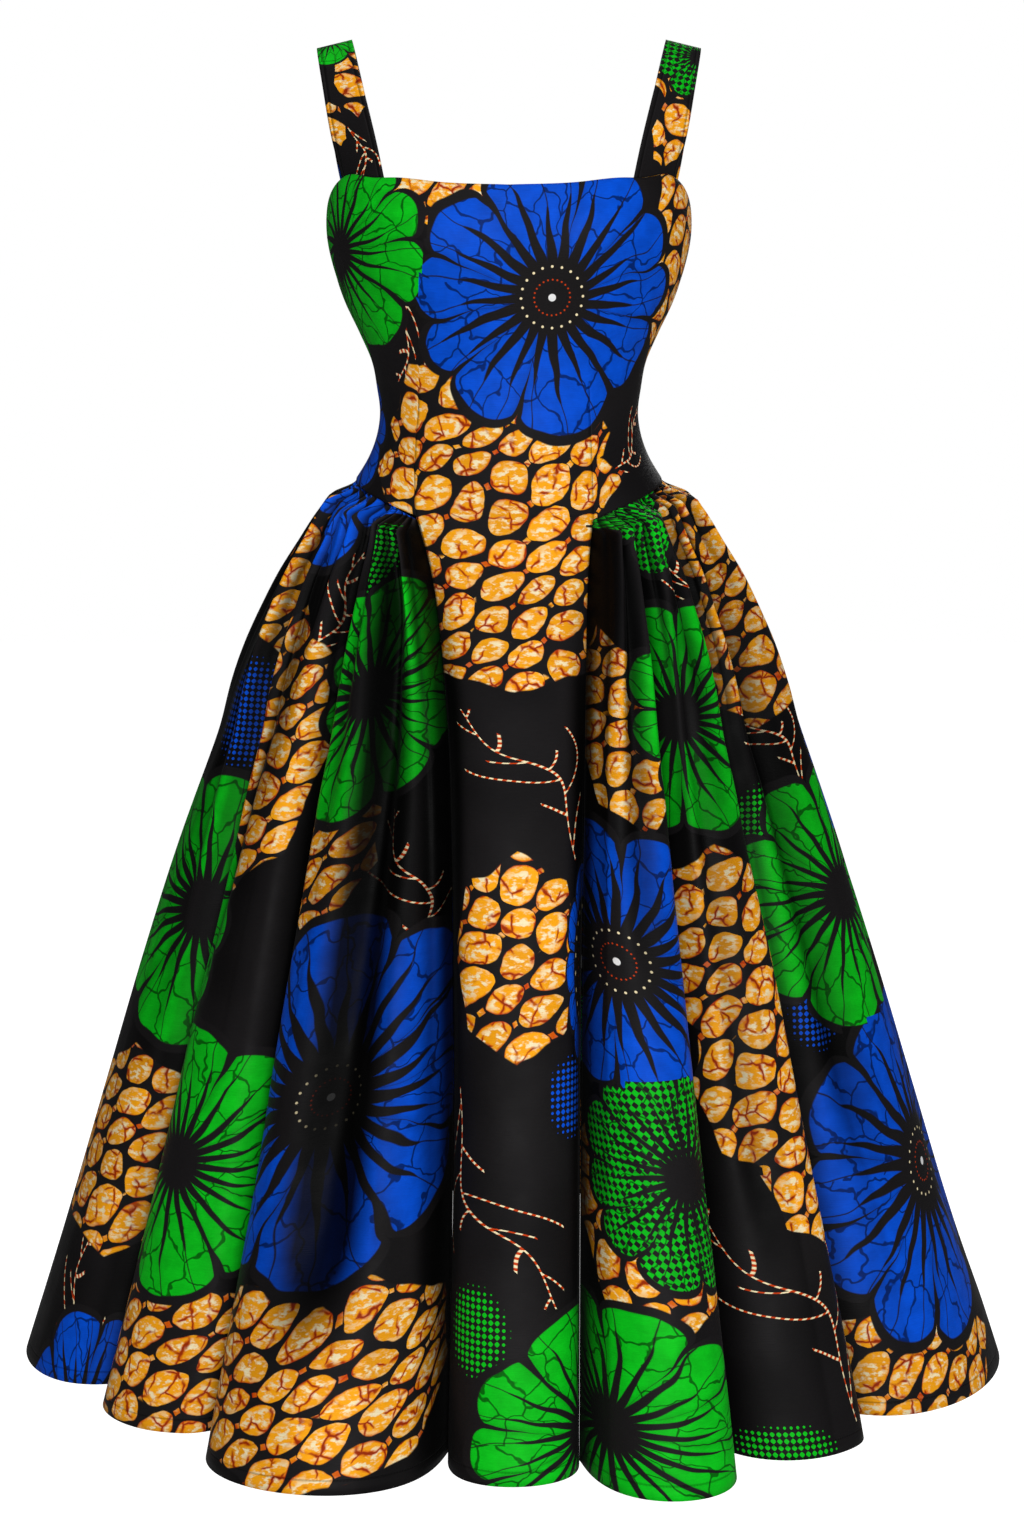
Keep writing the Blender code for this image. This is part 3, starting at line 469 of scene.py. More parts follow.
def gathered_radius(theta, drop):
    """The gathered skirt at its crests, eased out from the bodice's lower edge."""
    seam = seam_drop(theta)
    return mix(bodice_radius(theta, seam), oval(theta, drop, SKIRT_SECTIONS), ease((drop - seam) / POP_DROP))


def skirt_shares():
    """Shares of the skirt's length at its rows, closer together towards the waist."""
    return spaced(SKIRT_ROWS) ** ROW_GROWTH


def valley_lines():
    """Angle and radius of each valley on each row of the skirt.

    The angle moves from the waist's to the hem's as the skirt widens, and the radius is that of the
    crests less a depth that grows by a power law.
    """
    shares = skirt_shares()[:, None]
    waist, hem = np.radians(VALLEYS["waist"]), np.radians(VALLEYS["hem"])
    drop = mix(seam_drop(waist), HEM_DROP, shares)
    widths = oval(math.radians(90), drop, SKIRT_SECTIONS)
    spread = (widths[0] / widths - widths[0] / widths[-1]) / (1 - widths[0] / widths[-1])
    theta = mix(hem, waist, spread)
    radius = gathered_radius(theta, drop)
    growth = np.full(len(hem), FOLD_GROWTH)
    for valley, side in ((PANEL_LEFT, "left_x"), (PANEL_RIGHT, "right_x")):
        theta[:, valley] = line_angle(side, drop[:, valley], panel_radius)
        radius[:, valley] = panel_radius(theta[:, valley], drop[:, valley])
        growth[valley] = PANEL_GROWTH
    return theta, radius - VALLEYS["depth"] * shares ** growth


def fold_polar(first, last, fold_columns):
    """Angle, radius, drop and light over the folds from one valley to another, rows from waist to hem.

    Across a fold the radius is an arch, sqrt(sin^2 + softness^2), between the crest's and the
    valleys' own radii, and the columns lean into the valleys by a sine. The light is painted into the
    cloth's colour: it is 1 on the crests, falls as painted shade where the cloth lies deep between two
    folds, gathers or sides of a crease, and rises above 1 as a painted highlight on the gathers' tops
    near the waist seam.
    """
    t, u = skirt_shares()[:, None], spaced(fold_columns)[None, :]
    lines = valley_lines()
    gripped = u - FOLD_GRIP * t ** GRIP_GROWTH * np.sin(2 * np.pi * u) / (2 * np.pi)
    arch = np.sqrt(np.sin(np.pi * u) ** 2 + FOLD_SOFTNESS ** 2) - FOLD_SOFTNESS
    arch = arch / (math.sqrt(1 + FOLD_SOFTNESS ** 2) - FOLD_SOFTNESS)
    blocks = []
    for fold in range(first, last):
        gathers = VALLEYS["gathers"][fold]
        theta, low = (mix(line[:, [fold]], line[:, [fold + 1]], place)
                      for line, place in zip(lines, (gripped, u)))
        start = np.full_like(u, CORNER_DROP)
        if gathers:
            start = seam_drop(mix(*np.radians(VALLEYS["waist"][fold:fold + 2]), u))
        drop = start + SEAM_GAP / 2 * bool(gathers) * (1 - t) + t * (HEM_DROP - start)
        crest = (gathered_radius if gathers else panel_radius)(theta, drop) + VALLEYS["reach"][fold] * t
        radius = mix(low, crest, arch)
        sunk = crease_depth(fold, u, t)
        # painted shade: the colour is darkened in the valleys and along the creases
        light = 1 - VALLEY_SHADE * ease((SHADED_ARCH - arch) / SHADE_FALL) * ease((crest - low) / VALLEY_DARK)
        light = light * (1 - CREASE_SHADE * np.clip(sunk / CREASE_DARK, 0.0, 1.0) ** 0.8)
        if gathers:
            waves, between = gather_waves(fold, gathers, u, t)
            radius = radius + waves
            # painted highlight on the gathers' tops near the waist seam, and painted shade between the
            # gathers
            gain = 1 + GATHER_HIGHLIGHT * np.exp(-t / GATHER_FADE) - (GATHER_HIGHLIGHT + GATHER_SHADE) * between
            light = np.clip(light * gain, 0.0, 1 + GATHER_HIGHLIGHT)
            sunk = sunk * ease(t / GATHER_START)
        blocks.append(np.stack([theta, radius - sunk, drop, light], axis=-1)[:, int(fold > first):])
    polar = np.concatenate(blocks, axis=1)
    polar[:, 0, 0] += SEAM_GAP / 2 / polar[:, 0, 1]
    polar[:, -1, 0] -= SEAM_GAP / 2 / polar[:, -1, 1]
    return polar


def gather_waves(fold, gathers, u, t):
    """Ridges of the gathers, a rounded sin^2 each, uneven in height, width and length.

    Lower down they have merged in twos into wider swells, which fade by a bell curve. The second
    result is 1 in the middle between two gathers and 0 on them.
    """
    arc = np.sin(np.pi * u)
    place = u * gathers + GATHER_WANDER * np.sin(GATHER_STEP * u * gathers + FOLD_STEP * fold) * arc
    ridge = np.floor(np.clip(place, 0.0, gathers - 1e-6))
    uneven = 1 + GATHER_UNEVEN * np.sin(GATHER_STEP * ridge + FOLD_STEP * fold)
    fade = GATHER_FADE * (1 + FADE_UNEVEN * np.sin(FADE_STEP * ridge + FADE_FOLD_STEP * fold))
    ridged = np.sin(np.pi * place) ** 2
    height = bpy.context.scene.dress_cloth.gather_height
    grown = mix(ease(t / GATHER_RISE), ease(t / GATHER_START), GATHER_AT_ONCE)
    fine = (ridged ** GATHER_ROUND * uneven - GATHER_BASE) * height * grown * np.exp(-t / fade)
    merged = np.sin(np.pi * u * max(gathers // 2, 1)) ** 2
    between = (1 - merged) * arc
    swell = (1 - np.exp(-t / GATHER_FADE)) * np.exp(-(t / PLEAT_FADE) ** 2)
    waves = fine * arc ** 0.3 + (merged * uneven ** 0.5 * PLEAT_HEIGHT - between * PLEAT_DEPTH) * swell
    near = (1 - ridged ** 0.85) * np.exp(-t / (GATHER_SHADE_REACH * fade))
    return waves, np.maximum(near, between ** 1.5 * swell)


def crease_depth(fold, u, t):
    """Sum of the fold's creases: each a bell curve across the fold, eased in and out along it."""
    crease = {name: values[CREASES["fold"] == fold][:, None, None] for name, values in CREASES.items()}
    share = np.clip((t - crease["start"]) / (crease["end"] - crease["start"]), 0, 1)
    middle = mix(crease["across_top"], crease["across_hem"], share)
    bell = np.exp(-((u - middle) / crease["half_width"]) ** 2)
    run = ease((t - crease["start"]) / CREASE_FADE) * ease((crease["end"] - t) / CREASE_FADE)
    return (crease["depth"] * bell * run).sum(axis=0)


def polar_to_points(polar):
    """World points from angle, radius and drop: x = r sin, y = -r cos, z = -drop."""
    theta, radius, drop = polar[..., 0], polar[..., 1], polar[..., 2]
    return np.stack([radius * np.sin(theta), -radius * np.cos(theta), -drop], axis=-1)


def bodice_creases(theta, drop):
    """Sum of the bodice's soft drag lines, each a bell curve across a short sloping line."""
    crease = {name: values[:, None, None] for name, values in BODICE_CREASES.items()}
    along = np.degrees(theta) - crease["degrees"]
    across = drop - crease["drop"] - crease["slope"] * along
    bells = np.exp(-(along / crease["long"]) ** 2 - (across / crease["wide"]) ** 2)
    return (crease["depth"] * bells).sum(axis=0)


def bodice_polar(theta, bottom):
    """Bodice piece from its top edge down to the drops in bottom, rows spaced evenly by height."""
    share = spaced(BODICE_ROWS)[:, None]
    drop = mix(top_drop(theta[0]), bottom, share)
    calm = np.sin(np.pi * share) ** 0.5
    return np.stack([theta, bodice_radius(theta, drop) - calm * bodice_creases(theta, drop), drop], axis=-1)


def front_bodice_polar(panel_columns):
    """The front bodice: its columns run side, dart line, centre, dart line, side."""
    line_drop = mix(top_drop(np.radians(LINE_TOP_ANGLE)), CORNER_DROP, spaced(BODICE_ROWS))
    left, right = (line_angle(side, line_drop, bodice_radius)[:, None] for side in ("left_x", "right_x"))
    side = math.radians(90.0) - SEAM_GAP / 2 / SIDE_RADIUS
    outer = spaced(FRONT_SIDE_COLUMNS)
    theta = np.concatenate([mix(-side, left, outer), mix(left, right, spaced(panel_columns))[:, 1:],
                            mix(right, side, outer)[:, 1:]], axis=1)
    bottom = seam_drop(theta[-1]) - SEAM_GAP / 2
    bottom[FRONT_SIDE_COLUMNS:FRONT_SIDE_COLUMNS + panel_columns + 1] = CORNER_DROP
    return bodice_polar(theta, bottom)


def grid_faces(rows, columns, start=0):
    """Quads of a grid of points whose columns run towards +theta, facing out."""
    index = start + np.arange(rows * columns).reshape(rows, columns)
    quads = np.stack([index[1:, :-1], index[1:, 1:], index[:-1, 1:], index[:-1, :-1]], axis=-1)
    return quads.reshape(-1, 4)


def cloth_coordinates(points, middle, first_down=0.0):
    """Place on the flat cloth, in metres: distance along a row from its middle column, and distance
    down, which is the mean length of the steps between two rows."""
    steps = np.linalg.norm(np.diff(points, axis=1), axis=-1)
    across = np.concatenate([np.zeros((len(points), 1)), np.cumsum(steps, axis=1)], axis=1)
    across = across - across[:, [middle]]
    fall = np.linalg.norm(np.diff(points, axis=0), axis=-1).mean(axis=1)
    down = first_down + np.concatenate([[0.0], np.cumsum(fall)])
    return np.stack([across, np.broadcast_to(down[:, None], across.shape)], axis=-1)


def camera_axes():
    """The camera's place and its forward, right and up directions."""
    pitch = math.radians(CAMERA_PITCH)
    forward = np.array([0.0, math.cos(pitch), -math.sin(pitch)])
    right = np.array([1.0, 0.0, 0.0])
    return np.array(CAMERA_TARGET) - CAMERA_DISTANCE * forward, forward, right, np.cross(right, forward)


def cloth_under_pixel(points, cloth, image_x, image_y, reach=7.0):
    """Cloth place of the front-most point of a piece that shows within reach of a pixel.

    A point shows at the pixel that a central projection gives for it.
    """
    place, forward, right, up = camera_axes()
    focal = CAMERA_LENS / SENSOR * IMAGE_HEIGHT
    ray = points - place
    depth = ray @ forward
    x = IMAGE_WIDTH / 2 + focal * (ray @ right) / depth
    y = IMAGE_HEIGHT / 2 - focal * (ray @ up) / depth
    away = np.hypot(x - image_x, y - image_y)
    return cloth[np.where(away < max(reach, away.min() + 1e-6), depth, np.inf).argmin()]


def motifs_of(piece, points, cloth):
    """The piece's motifs by kind, each a row of middle across and down, half sizes, turn and tone.

    A sprig's half length stands in the place of its tone.
    """
    found = {kind: [] for kind in MOTIF_COLUMNS}
    for motifs, place in ((FRONT_MOTIFS, PIXEL_PLACE), (BACK_MOTIFS, CLOTH_PLACE)):
        for kind, rows in motifs.get(piece, {}).items():
            for row in rows:
                motif = dict(zip(place + MOTIF_COLUMNS[kind], row))
                middle = [motif[name] for name in place]
                if place is PIXEL_PLACE:
                    middle = cloth_under_pixel(points, cloth, *middle)
                wide = motif["wide"]
                turn = math.radians(motif.get("turn", 0))
                found[kind].append((*middle, wide, motif.get("tall", wide), turn, motif.get("tone", wide)))
    return found


def store(mesh, name, domain, kind, values):
    """Stores a number or a vector for every point or corner of a mesh."""
    made = mesh.attributes.new(name, kind, domain)
    field = "vector" if kind == "FLOAT_VECTOR" else "value"
    made.data.foreach_set(field, np.ascontiguousarray(values, dtype=np.float32).reshape(-1))


def store_motifs(mesh, name, corner_cloth, motifs):
    """Gives each face its nearest motif, and each of its corners the place in that motif.

    The place is the offset from the motif's middle, turned and divided by the half sizes, and the
    third number is the motif's tone. Distances are compared in those same units. Flowers also get
    the radius of their eye's ring in those units, so that every eye has one size on the cloth.
    """
    local = np.full(corner_cloth.shape[:2] + (3,), FAR)
    ring = np.full(corner_cloth.shape[:2], 0.2)
    if motifs:
        rows = np.array(motifs, dtype=float)
        nearest = motif_local(corner_cloth.mean(axis=1)[:, None], rows[None])
        picked = rows[np.linalg.norm(nearest, axis=-1).argmin(axis=1)][:, None]
        local[..., :2] = motif_local(corner_cloth, picked)
        local[..., 2] = picked[..., 5]
        ring[:] = EYE_RING / np.sqrt(picked[..., 2] * picked[..., 3])
    store(mesh, name, "CORNER", "FLOAT_VECTOR", local)
    if name == "flower":
        store(mesh, "flower_ring", "CORNER", "FLOAT", ring)


def motif_local(cloth, rows):
    """Offset from the middles in rows, turned back by their turn and divided by their half sizes."""
    offset = cloth - rows[..., :2]
    cos, sin = np.cos(rows[..., 4]), np.sin(rows[..., 4])
    x = (offset[..., 0] * cos + offset[..., 1] * sin) / rows[..., 2]
    y = (offset[..., 1] * cos - offset[..., 0] * sin) / rows[..., 3]
    return np.stack([x, y], axis=-1)


def add_object(name, points, faces, material):
    """A mesh object of points and faces in one material, linked to the scene."""
    mesh = bpy.data.meshes.new(name)
    mesh.from_pydata(points.reshape(-1, 3).tolist(), [], faces.tolist())
    mesh.materials.append(material)
    made = bpy.data.objects.new(name, mesh)
    bpy.context.scene.collection.objects.link(made)
    return made


def sew_on(piece, node, slot, thickness, even, **sheet):
    """Gives a piece of cloth its thickness on the inner side and its body, and hides the frame's solid of its
    node. slot and sheet are not used.
    """
    piece.data.shade_smooth()
    wall = piece.modifiers.new("Wall", "SOLIDIFY")
    wall.thickness = thickness
    wall.offset = -1.0
    wall.use_even_offset = even
    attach(piece, DRESS)
    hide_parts(node)


def flat_rows(grid):
    """A grid of vectors as one list of them."""
    return grid.reshape(-1, grid.shape[-1])


def printed_cloth(node, points, cloth, faces, seams, thickness, **sheet):
    """A piece of the printed cloth, an open surface.

    points and cloth are grids or flat arrays, faces indexes them, and seams holds each point's
    distances to the dart line, to the hem and to the side edges, in metres, and its light: the painted
    shade and highlight that its colour is multiplied by.
    """
    points, cloth, seams = (flat_rows(values) for values in (points, cloth, seams))
    piece = add_object(node + "_cloth", points, faces, print_material())
    mesh = piece.data
    corner_cloth = cloth[faces]
    uv = mesh.uv_layers.new(name="cloth")
    uv.data.foreach_set("uv", corner_cloth.reshape(-1).astype(np.float32))
    for kind, motifs in motifs_of(node, points, cloth).items():
        store_motifs(mesh, kind, corner_cloth, motifs)
    store(mesh, "seams", "POINT", "FLOAT_VECTOR", seams[:, :3])
    store(mesh, "light", "POINT", "FLOAT", seams[:, 3])
    sew_on(piece, node, CLOTH_SLOT, thickness, False, **sheet)


def side_distances(cloth):
    """Distance of each point of a grid to the nearer of its two side edges, along the cloth."""
    across = cloth[..., 0]
    return np.minimum(across - across[:, [0]], across[:, [-1]] - across)


def seam_values(shape, dart=FAR, hem=FAR, side=FAR, light=1.0):
    """The three distances and the light of every point, as one array."""
    return np.stack([np.broadcast_to(value, shape) for value in (dart, hem, side, light)], axis=-1)


def printed_grid(node, points, thickness, flat, area, held="stretched", **given):
    """A printed piece that is one grid of points, with its side edges marked."""
    cloth = cloth_coordinates(points, points.shape[1] // 2)
    seams = seam_values(cloth.shape[:2], side=side_distances(cloth), **given)
    printed_cloth(node, points, cloth, grid_faces(*points.shape[:2]), seams, thickness,
                  flat=flat, area=area, held=held)


class Signal:
    """An output of a node. A sum, product and the like of signals and numbers adds a math node."""

    def __init__(self, socket):
        self.socket = socket
        self.is_vector = socket.type in ("VECTOR", "RGBA")

    __add__ = lambda self, other: combine("ADD", self, other)
    __sub__ = lambda self, other: combine("SUBTRACT", self, other)
    __rsub__ = lambda self, other: combine("SUBTRACT", other, self)
    __mul__ = lambda self, other: combine("MULTIPLY", self, other)
    __truediv__ = lambda self, other: combine("DIVIDE", self, other)
    __rtruediv__ = lambda self, other: combine("DIVIDE", other, self)
    __pow__ = lambda self, other: combine("POWER", self, other)
    __abs__ = lambda self: calc("ABSOLUTE", self)


def put(socket, value):
    """Gives an input a signal or a value."""
    if isinstance(value, Signal):
        socket.id_data.links.new(value.socket, socket)
    elif value is not None:
        socket.default_value = value


def add_node(kind, output, inputs, tree=None, **settings):
    """Adds a node beside the signals in its inputs, or to a tree, and gives one of its outputs."""
    tree = tree or next(value.socket.id_data for value in inputs.values() if isinstance(value, Signal))
    made = tree.nodes.new(kind)
    for key, value in settings.items():
        setattr(made, key, value)
    for key, value in inputs.items():
        put(made.inputs[key], value)
    return Signal(made.outputs[output])


def calc(operation, *values, clamp=False):
    return add_node("ShaderNodeMath", 0, dict(enumerate(values)), operation=operation, use_clamp=clamp)


def combine(operation, first, second):
    """A math node for two numbers, or a vector math node where the first is a vector."""
    if not (isinstance(first, Signal) and first.is_vector):
        return calc(operation, first, second)
    if isinstance(second, tuple) or (isinstance(second, Signal) and second.is_vector):
        return add_node("ShaderNodeVectorMath", 0, {0: first, 1: second}, operation=operation)
    return add_node("ShaderNodeVectorMath", 0, {0: first, 3: second}, operation="SCALE")


def join(x, y):
    return add_node("ShaderNodeCombineXYZ", 0, {0: x, 1: y})


def split(value):
    return [Signal(socket) for socket in add_node("ShaderNodeSeparateXYZ", 0, {0: value}).socket.node.outputs]


def length(x, y):
    return add_node("ShaderNodeVectorMath", "Value", {0: join(x, y)}, operation="LENGTH")


def turn(where, angle):
    return add_node("ShaderNodeVectorRotate", 0, {"Vector": where, "Angle": angle}, rotation_type="Z_AXIS")


def step(value, low, high, out_low=0.0, out_high=1.0):
    """A soft step of value from low to high; low may be the larger of the two."""
    inputs = dict(enumerate((value, low, high, out_low, out_high)))
    return add_node("ShaderNodeMapRange", 0, inputs, interpolation_type="SMOOTHSTEP")


def blend(share, first, second):
    return add_node("ShaderNodeMix", 2, {0: share, 6: first, 7: second}, data_type="RGBA")


def noise(where, scale, detail=2.0, roughness=0.5, output="Fac"):
    inputs = {"Vector": where, "Scale": scale, "Detail": detail, "Roughness": roughness}
    return add_node("ShaderNodeTexNoise", output, inputs)


def cell_edges(where, scale):
    return add_node("ShaderNodeTexVoronoi", "Distance", {"Vector": where, "Scale": scale},
                    voronoi_dimensions="2D", feature="DISTANCE_TO_EDGE")


def random(value):
    return add_node("ShaderNodeTexWhiteNoise", "Value", {"W": value}, noise_dimensions="1D")


def bump(height, strength, distance, under=None):
    inputs = {"Height": height, "Strength": strength, "Distance": distance, "Normal": under}
    return add_node("ShaderNodeBump", 0, inputs)


def new_material(name):
    """A new material, with its tree and the inputs of its shader."""
    made = bpy.data.materials.new(name)
    made.use_nodes = True
    return made, made.node_tree, made.node_tree.nodes["Principled BSDF"].inputs


def shader_group(name, vectors, colours, numbers, outputs):
    """A new node group; its sockets are words in a string, and numbers come with their defaults."""
    tree = bpy.data.node_groups.new(name, "ShaderNodeTree")
    for labels, kind in ((vectors, "Vector"), (colours, "Color"), (" ".join(numbers), "Float")):
        for label in labels.split():
            socket = tree.interface.new_socket(label, in_out="INPUT", socket_type="NodeSocket" + kind)
            if label in numbers:
                socket.default_value = numbers[label]
    for label in outputs.split():
        kind = "Color" if label == "Colour" else "Float"
        tree.interface.new_socket(label, in_out="OUTPUT", socket_type="NodeSocket" + kind)
    given = {socket.name: Signal(socket) for socket in tree.nodes.new("NodeGroupInput").outputs}
    return given, tree.nodes.new("NodeGroupOutput").inputs


def place_group(tree, name, **values):
    """Places a group in a material with those values that it takes and gives its outputs by name."""
    made = tree.nodes.new("ShaderNodeGroup")
    made.node_tree = bpy.data.node_groups[name]
    for socket in made.inputs:
        put(socket, values.get(socket.name))
    return {socket.name: Signal(socket) for socket in made.outputs}


def make_flower_group():
    """A many-petalled flower seen from above: scalloped petals and tapering black rays, which meet in
    a dotted eye on the blue flowers and in a small black heart on the green ones."""
    given, result = shader_group("printed_flower", "Place Cloth", "Ground Blue Green Cream Red",
                                 {"Petals": 10.0, "Rays": 24.0, "Halo": 0.07, "Ring": 0.235},
                                 "Colour Mask")
    cloth = given["Cloth"]
    x, y, tone = split(given["Place"])
    eye_radius = length(x, y) / given["Ring"]
    net = calc("GREATER_THAN", tone, 1.5)
    plain = calc("MINIMUM", tone, 1.0)
    petal = blend(net * -2.0 + tone, given["Blue"], given["Green"])
    wobble = noise(cloth, 22.0, 1.0) - 0.5
    radius = wobble * 0.10 + length(x, y)
    angle = wobble * 0.16 + calc("ARCTAN2", y, x)
    petal_angle = angle + calc("SINE", angle * 2.0 + 0.7) * 0.16
    lobe = abs(calc("COSINE", petal_angle * (given["Petals"] * 0.5)))
    inside = lobe ** 0.42 * 0.20 + 0.80 - radius
    in_petal = step(inside, 0.0, 0.012)
    notch = step(lobe - step(radius, 0.50, 1.0, 0.0, 0.16), 0.0, 0.03)

    turns = given["Rays"] / (2 * math.pi)
    ray_place = angle * turns + (radius * 0.55 + 40.0)
    chance = random(calc("FLOOR", ray_place))
    from_ray = abs(calc("FRACT", ray_place) - 0.5)
    taper = calc("SUBTRACT", 1.0, radius / (chance * 0.36 + 0.58), clamp=True)
    ray_width = taper ** 0.7 * (plain * -0.016 + 0.046)
    off_ray = step(from_ray / turns * radius - ray_width, 0.0, 0.008)

    warp = noise(cloth, 45.0, 2.0, output="Color") * 0.9
    veins = cell_edges(join(angle * 3.4, radius * 3.6) + warp, 1.0)
    mottle = step(noise(cloth, 60.0, 3.0), 0.25, 0.75, 0.82, 1.06)
    shade = step(veins, 0.022, 0.045, 0.26, 1.0) * mottle * step(lobe, 0.0, 0.5, 0.80, 1.0)
    petal = petal * shade

    hole = step(net_dots(cloth, 0.0062), -0.05, 0.12) * net
    body = in_petal * notch * off_ray * step(plain * 0.90 + eye_radius, 1.16, 1.22) * (1.0 - hole)
    colour = blend(body, given["Ground"], petal)
    eyed = 1.0 - plain
    for ring, count, size, name in ((1.0, 20.0, 0.052, "Cream"), (0.58, 24.0, 0.036, "Red")):
        part = calc("ARCTAN2", y, x) * (count / (2 * math.pi))
        along = (calc("FRACT", part + 50.0) - 0.5) * (2 * math.pi * ring / count)
        dot = step(length(along, eye_radius - ring), size, size * 0.6)
        colour = blend(dot * eyed, colour, given[name])
    colour = blend(step(eye_radius, 0.135, 0.11) * eyed, colour, (0.9, 0.9, 0.9, 1.0))
    put(result["Colour"], colour)
    put(result["Mask"], step(inside + given["Halo"], 0.0, 0.012))


def net_dots(cloth, pitch):
    """Height of a diagonal lattice of round bumps: sin(x + y) sin(x - y)."""
    x, y, _ = split(cloth * (math.pi / pitch))
    return calc("SINE", x + y) * calc("SINE", x - y)


def patch_edge(place, cloth, scallops=8.0, depth=0.11):
    """How far a place is inside its patch: 1 less its distance, with scallops and a rough outline."""
    x, y, tone = split(place)
    wave = abs(calc("SINE", calc("ARCTAN2", y, x) * (scallops / 2)))
    rough = noise(cloth, 30.0, 1.0) - 0.5
    return rough * 0.16 + (wave * -depth + 1.0) - length(x, y), tone


def make_gold_group():
    """Lemon-shaped gold cells in staggered rows, with cream marbling, red crackle and small specks.

    The cloth is tilted and scaled so that the rows' diamond lattice becomes a square one. Inside a
    cell a lemon is |across| < height (1 - (along / tip)^2)^0.62, each of its own size.
    """
    given, result = shader_group("gold_cells", "Place Cloth", "Ground Gold Cream Red",
                                 {"Length": 0.0310, "Width": 0.0315, "Tilt": math.radians(34.0)},
                                 "Colour Mask")
    cloth = given["Cloth"]
    x, y, _ = split(turn(cloth, given["Tilt"]))
    bend = noise(cloth, 13.0, 1.0, output="Color") * 1.1
    rough = noise(cloth, 75.0, 1.0, output="Color") * 0.12
    flat = join(x / given["Length"], y / given["Width"])
    square = turn(flat + (bend + rough), math.radians(45.0)) + (60.0, 60.0, 0.0)
    across_cells, down_cells, _ = split(square)
    i, j = calc("FLOOR", across_cells), calc("FLOOR", down_cells)
    p, q = across_cells - (i + 0.5), down_cells - (j + 0.5)
    chance = random(calc("MULTIPLY_ADD", i, 17.3, j * 3.1))
    along = (p + q) * 0.7071
    bow = calc("SUBTRACT", 1.0, (along / (chance * 0.07 + 0.57)) ** 2.0, clamp=True)
    inside = bow ** 0.62 * (chance * 0.055 + 0.365) - abs((p - q) * 0.7071)
    speck = (step(0.5 - abs(p) + (0.5 - abs(q)), 0.11, 0.085)
             * step(noise(cloth, 30.0, 0.0), 0.42, 0.46))
    body = calc("MAXIMUM", step(inside, 0.0, 0.03), speck)

    pale = step(noise(cloth * (120.0, 210.0, 0.0), 1.0, 2.5, 0.6), 0.47, 0.60)
    colour = blend(pale * step(inside, 0.06, 0.26, 0.35, 1.0),
                         given["Gold"] * (chance * 0.22 + 0.88), given["Cream"])
    crack = cell_edges(cloth + noise(cloth, 60.0, 2.0, output="Color") * 0.016, 58.0)
    some = step(noise(cloth, 50.0, 1.0), 0.42, 0.54)
    colour = blend(step(crack, 0.13, 0.04) * (some * 0.70), colour, given["Red"])
    colour = blend(step(crack, 0.06, 0.02) * some, colour, given["Red"] * 0.55)
    rim = step(inside, 0.08, 0.01) * step(noise(cloth, 30.0, 1.0), 0.44, 0.62)
    colour = blend(rim * 0.85, colour, given["Red"])
    put(result["Colour"], blend(body, given["Ground"], colour))
    put(result["Mask"], step(patch_edge(given["Place"], cloth)[0], 0.0, 0.02))


def make_net_group():
    """A patch of small dots that shrink towards its edge."""
    given, result = shader_group("dot_net", "Place Cloth", "Blue Green", {}, "Colour Mask")
    inside, tone = patch_edge(given["Place"], given["Cloth"], 5.0, 0.05)
    above = net_dots(given["Cloth"], 0.0052) - step(inside, 0.0, 0.45, 1.2, 0.05)
    put(result["Colour"], blend(tone, given["Blue"], given["Green"]))
    put(result["Mask"], step(above, 0.0, 0.12))


def make_sprig_group():
    """A sprig drawn in dashes: a bent stem with curved side shoots by turns on both sides.

    Place runs from -1 at the sprig's foot to 1 at its tip, along Y, and its third number is the
    sprig's half length in metres.
    """
    given, result = shader_group("dashed_sprig", "Place", "Cream Red",
                                 {"Shoots": 2.3, "Line": 0.00075, "Dash": 0.0056}, "Colour Mask")
    half = split(given["Place"])[2]
    drift = noise(given["Place"], 0.9, 0.0, output="Color") - (0.5, 0.5, 0.5)
    x, y, _ = split(given["Place"] + drift * 0.8)
    y = y * -1.0
    off = x - calc("COSINE", y * 1.5) * 0.26
    away = abs(off)
    width = given["Line"] / half
    on_stem = step(away - width, 0.004, -0.002)
    root = away * away * -1.7 + (y - away * 0.45)
    number = root * given["Shoots"] + (calc("GREATER_THAN", off, 0.0) * 0.5 + 20.0)
    chance = random(calc("FLOOR", number))
    slope = calc("SQRT", (away * 3.4 + 0.45) ** 2.0 + 1.0)
    distance = abs(calc("FRACT", number) - 0.5) / (given["Shoots"] * slope)
    reach = step(root, 1.0, -0.9, 0.30, 0.62) * (chance * 0.6 + 0.45)
    short = calc("LESS_THAN", away, reach) * calc("COMPARE", root, 0.0, 0.92)
    on_shoot = step(distance - width, 0.004, -0.002) * short
    beat = calc("FRACT", (away * 0.35 + y) * half / given["Dash"] + 90.0)
    line = calc("MAXIMUM", on_stem, on_shoot) * calc("COMPARE", y, 0.0, 0.97)
    lit = step(beat, 0.46, 0.54, 1.0, 0.0)
    put(result["Colour"], blend(lit, given["Red"], given["Cream"]))
    put(result["Mask"], line)


def make_weave_group():
    """Plain weave and the small unevenness of pressed cotton, as a height and a tone."""
    given, result = shader_group("cotton_weave", "Cloth", "", {"Thread": 0.00045}, "Height Tone")
    cloth = given["Cloth"]
    x, y, _ = split(cloth)
    pitch = math.pi / given["Thread"]
    weave = calc("SINE", x * pitch) * calc("SINE", y * pitch)
    slub = noise(cloth * (90.0, 1400.0, 0.0), 1.0, 1.0)
    put(result["Height"], weave * 0.10 + (noise(cloth, 38.0, 3.0, 0.55) * 2.2 + slub))
    put(result["Tone"], step(slub, 0.2, 0.8, 0.93, 1.05))


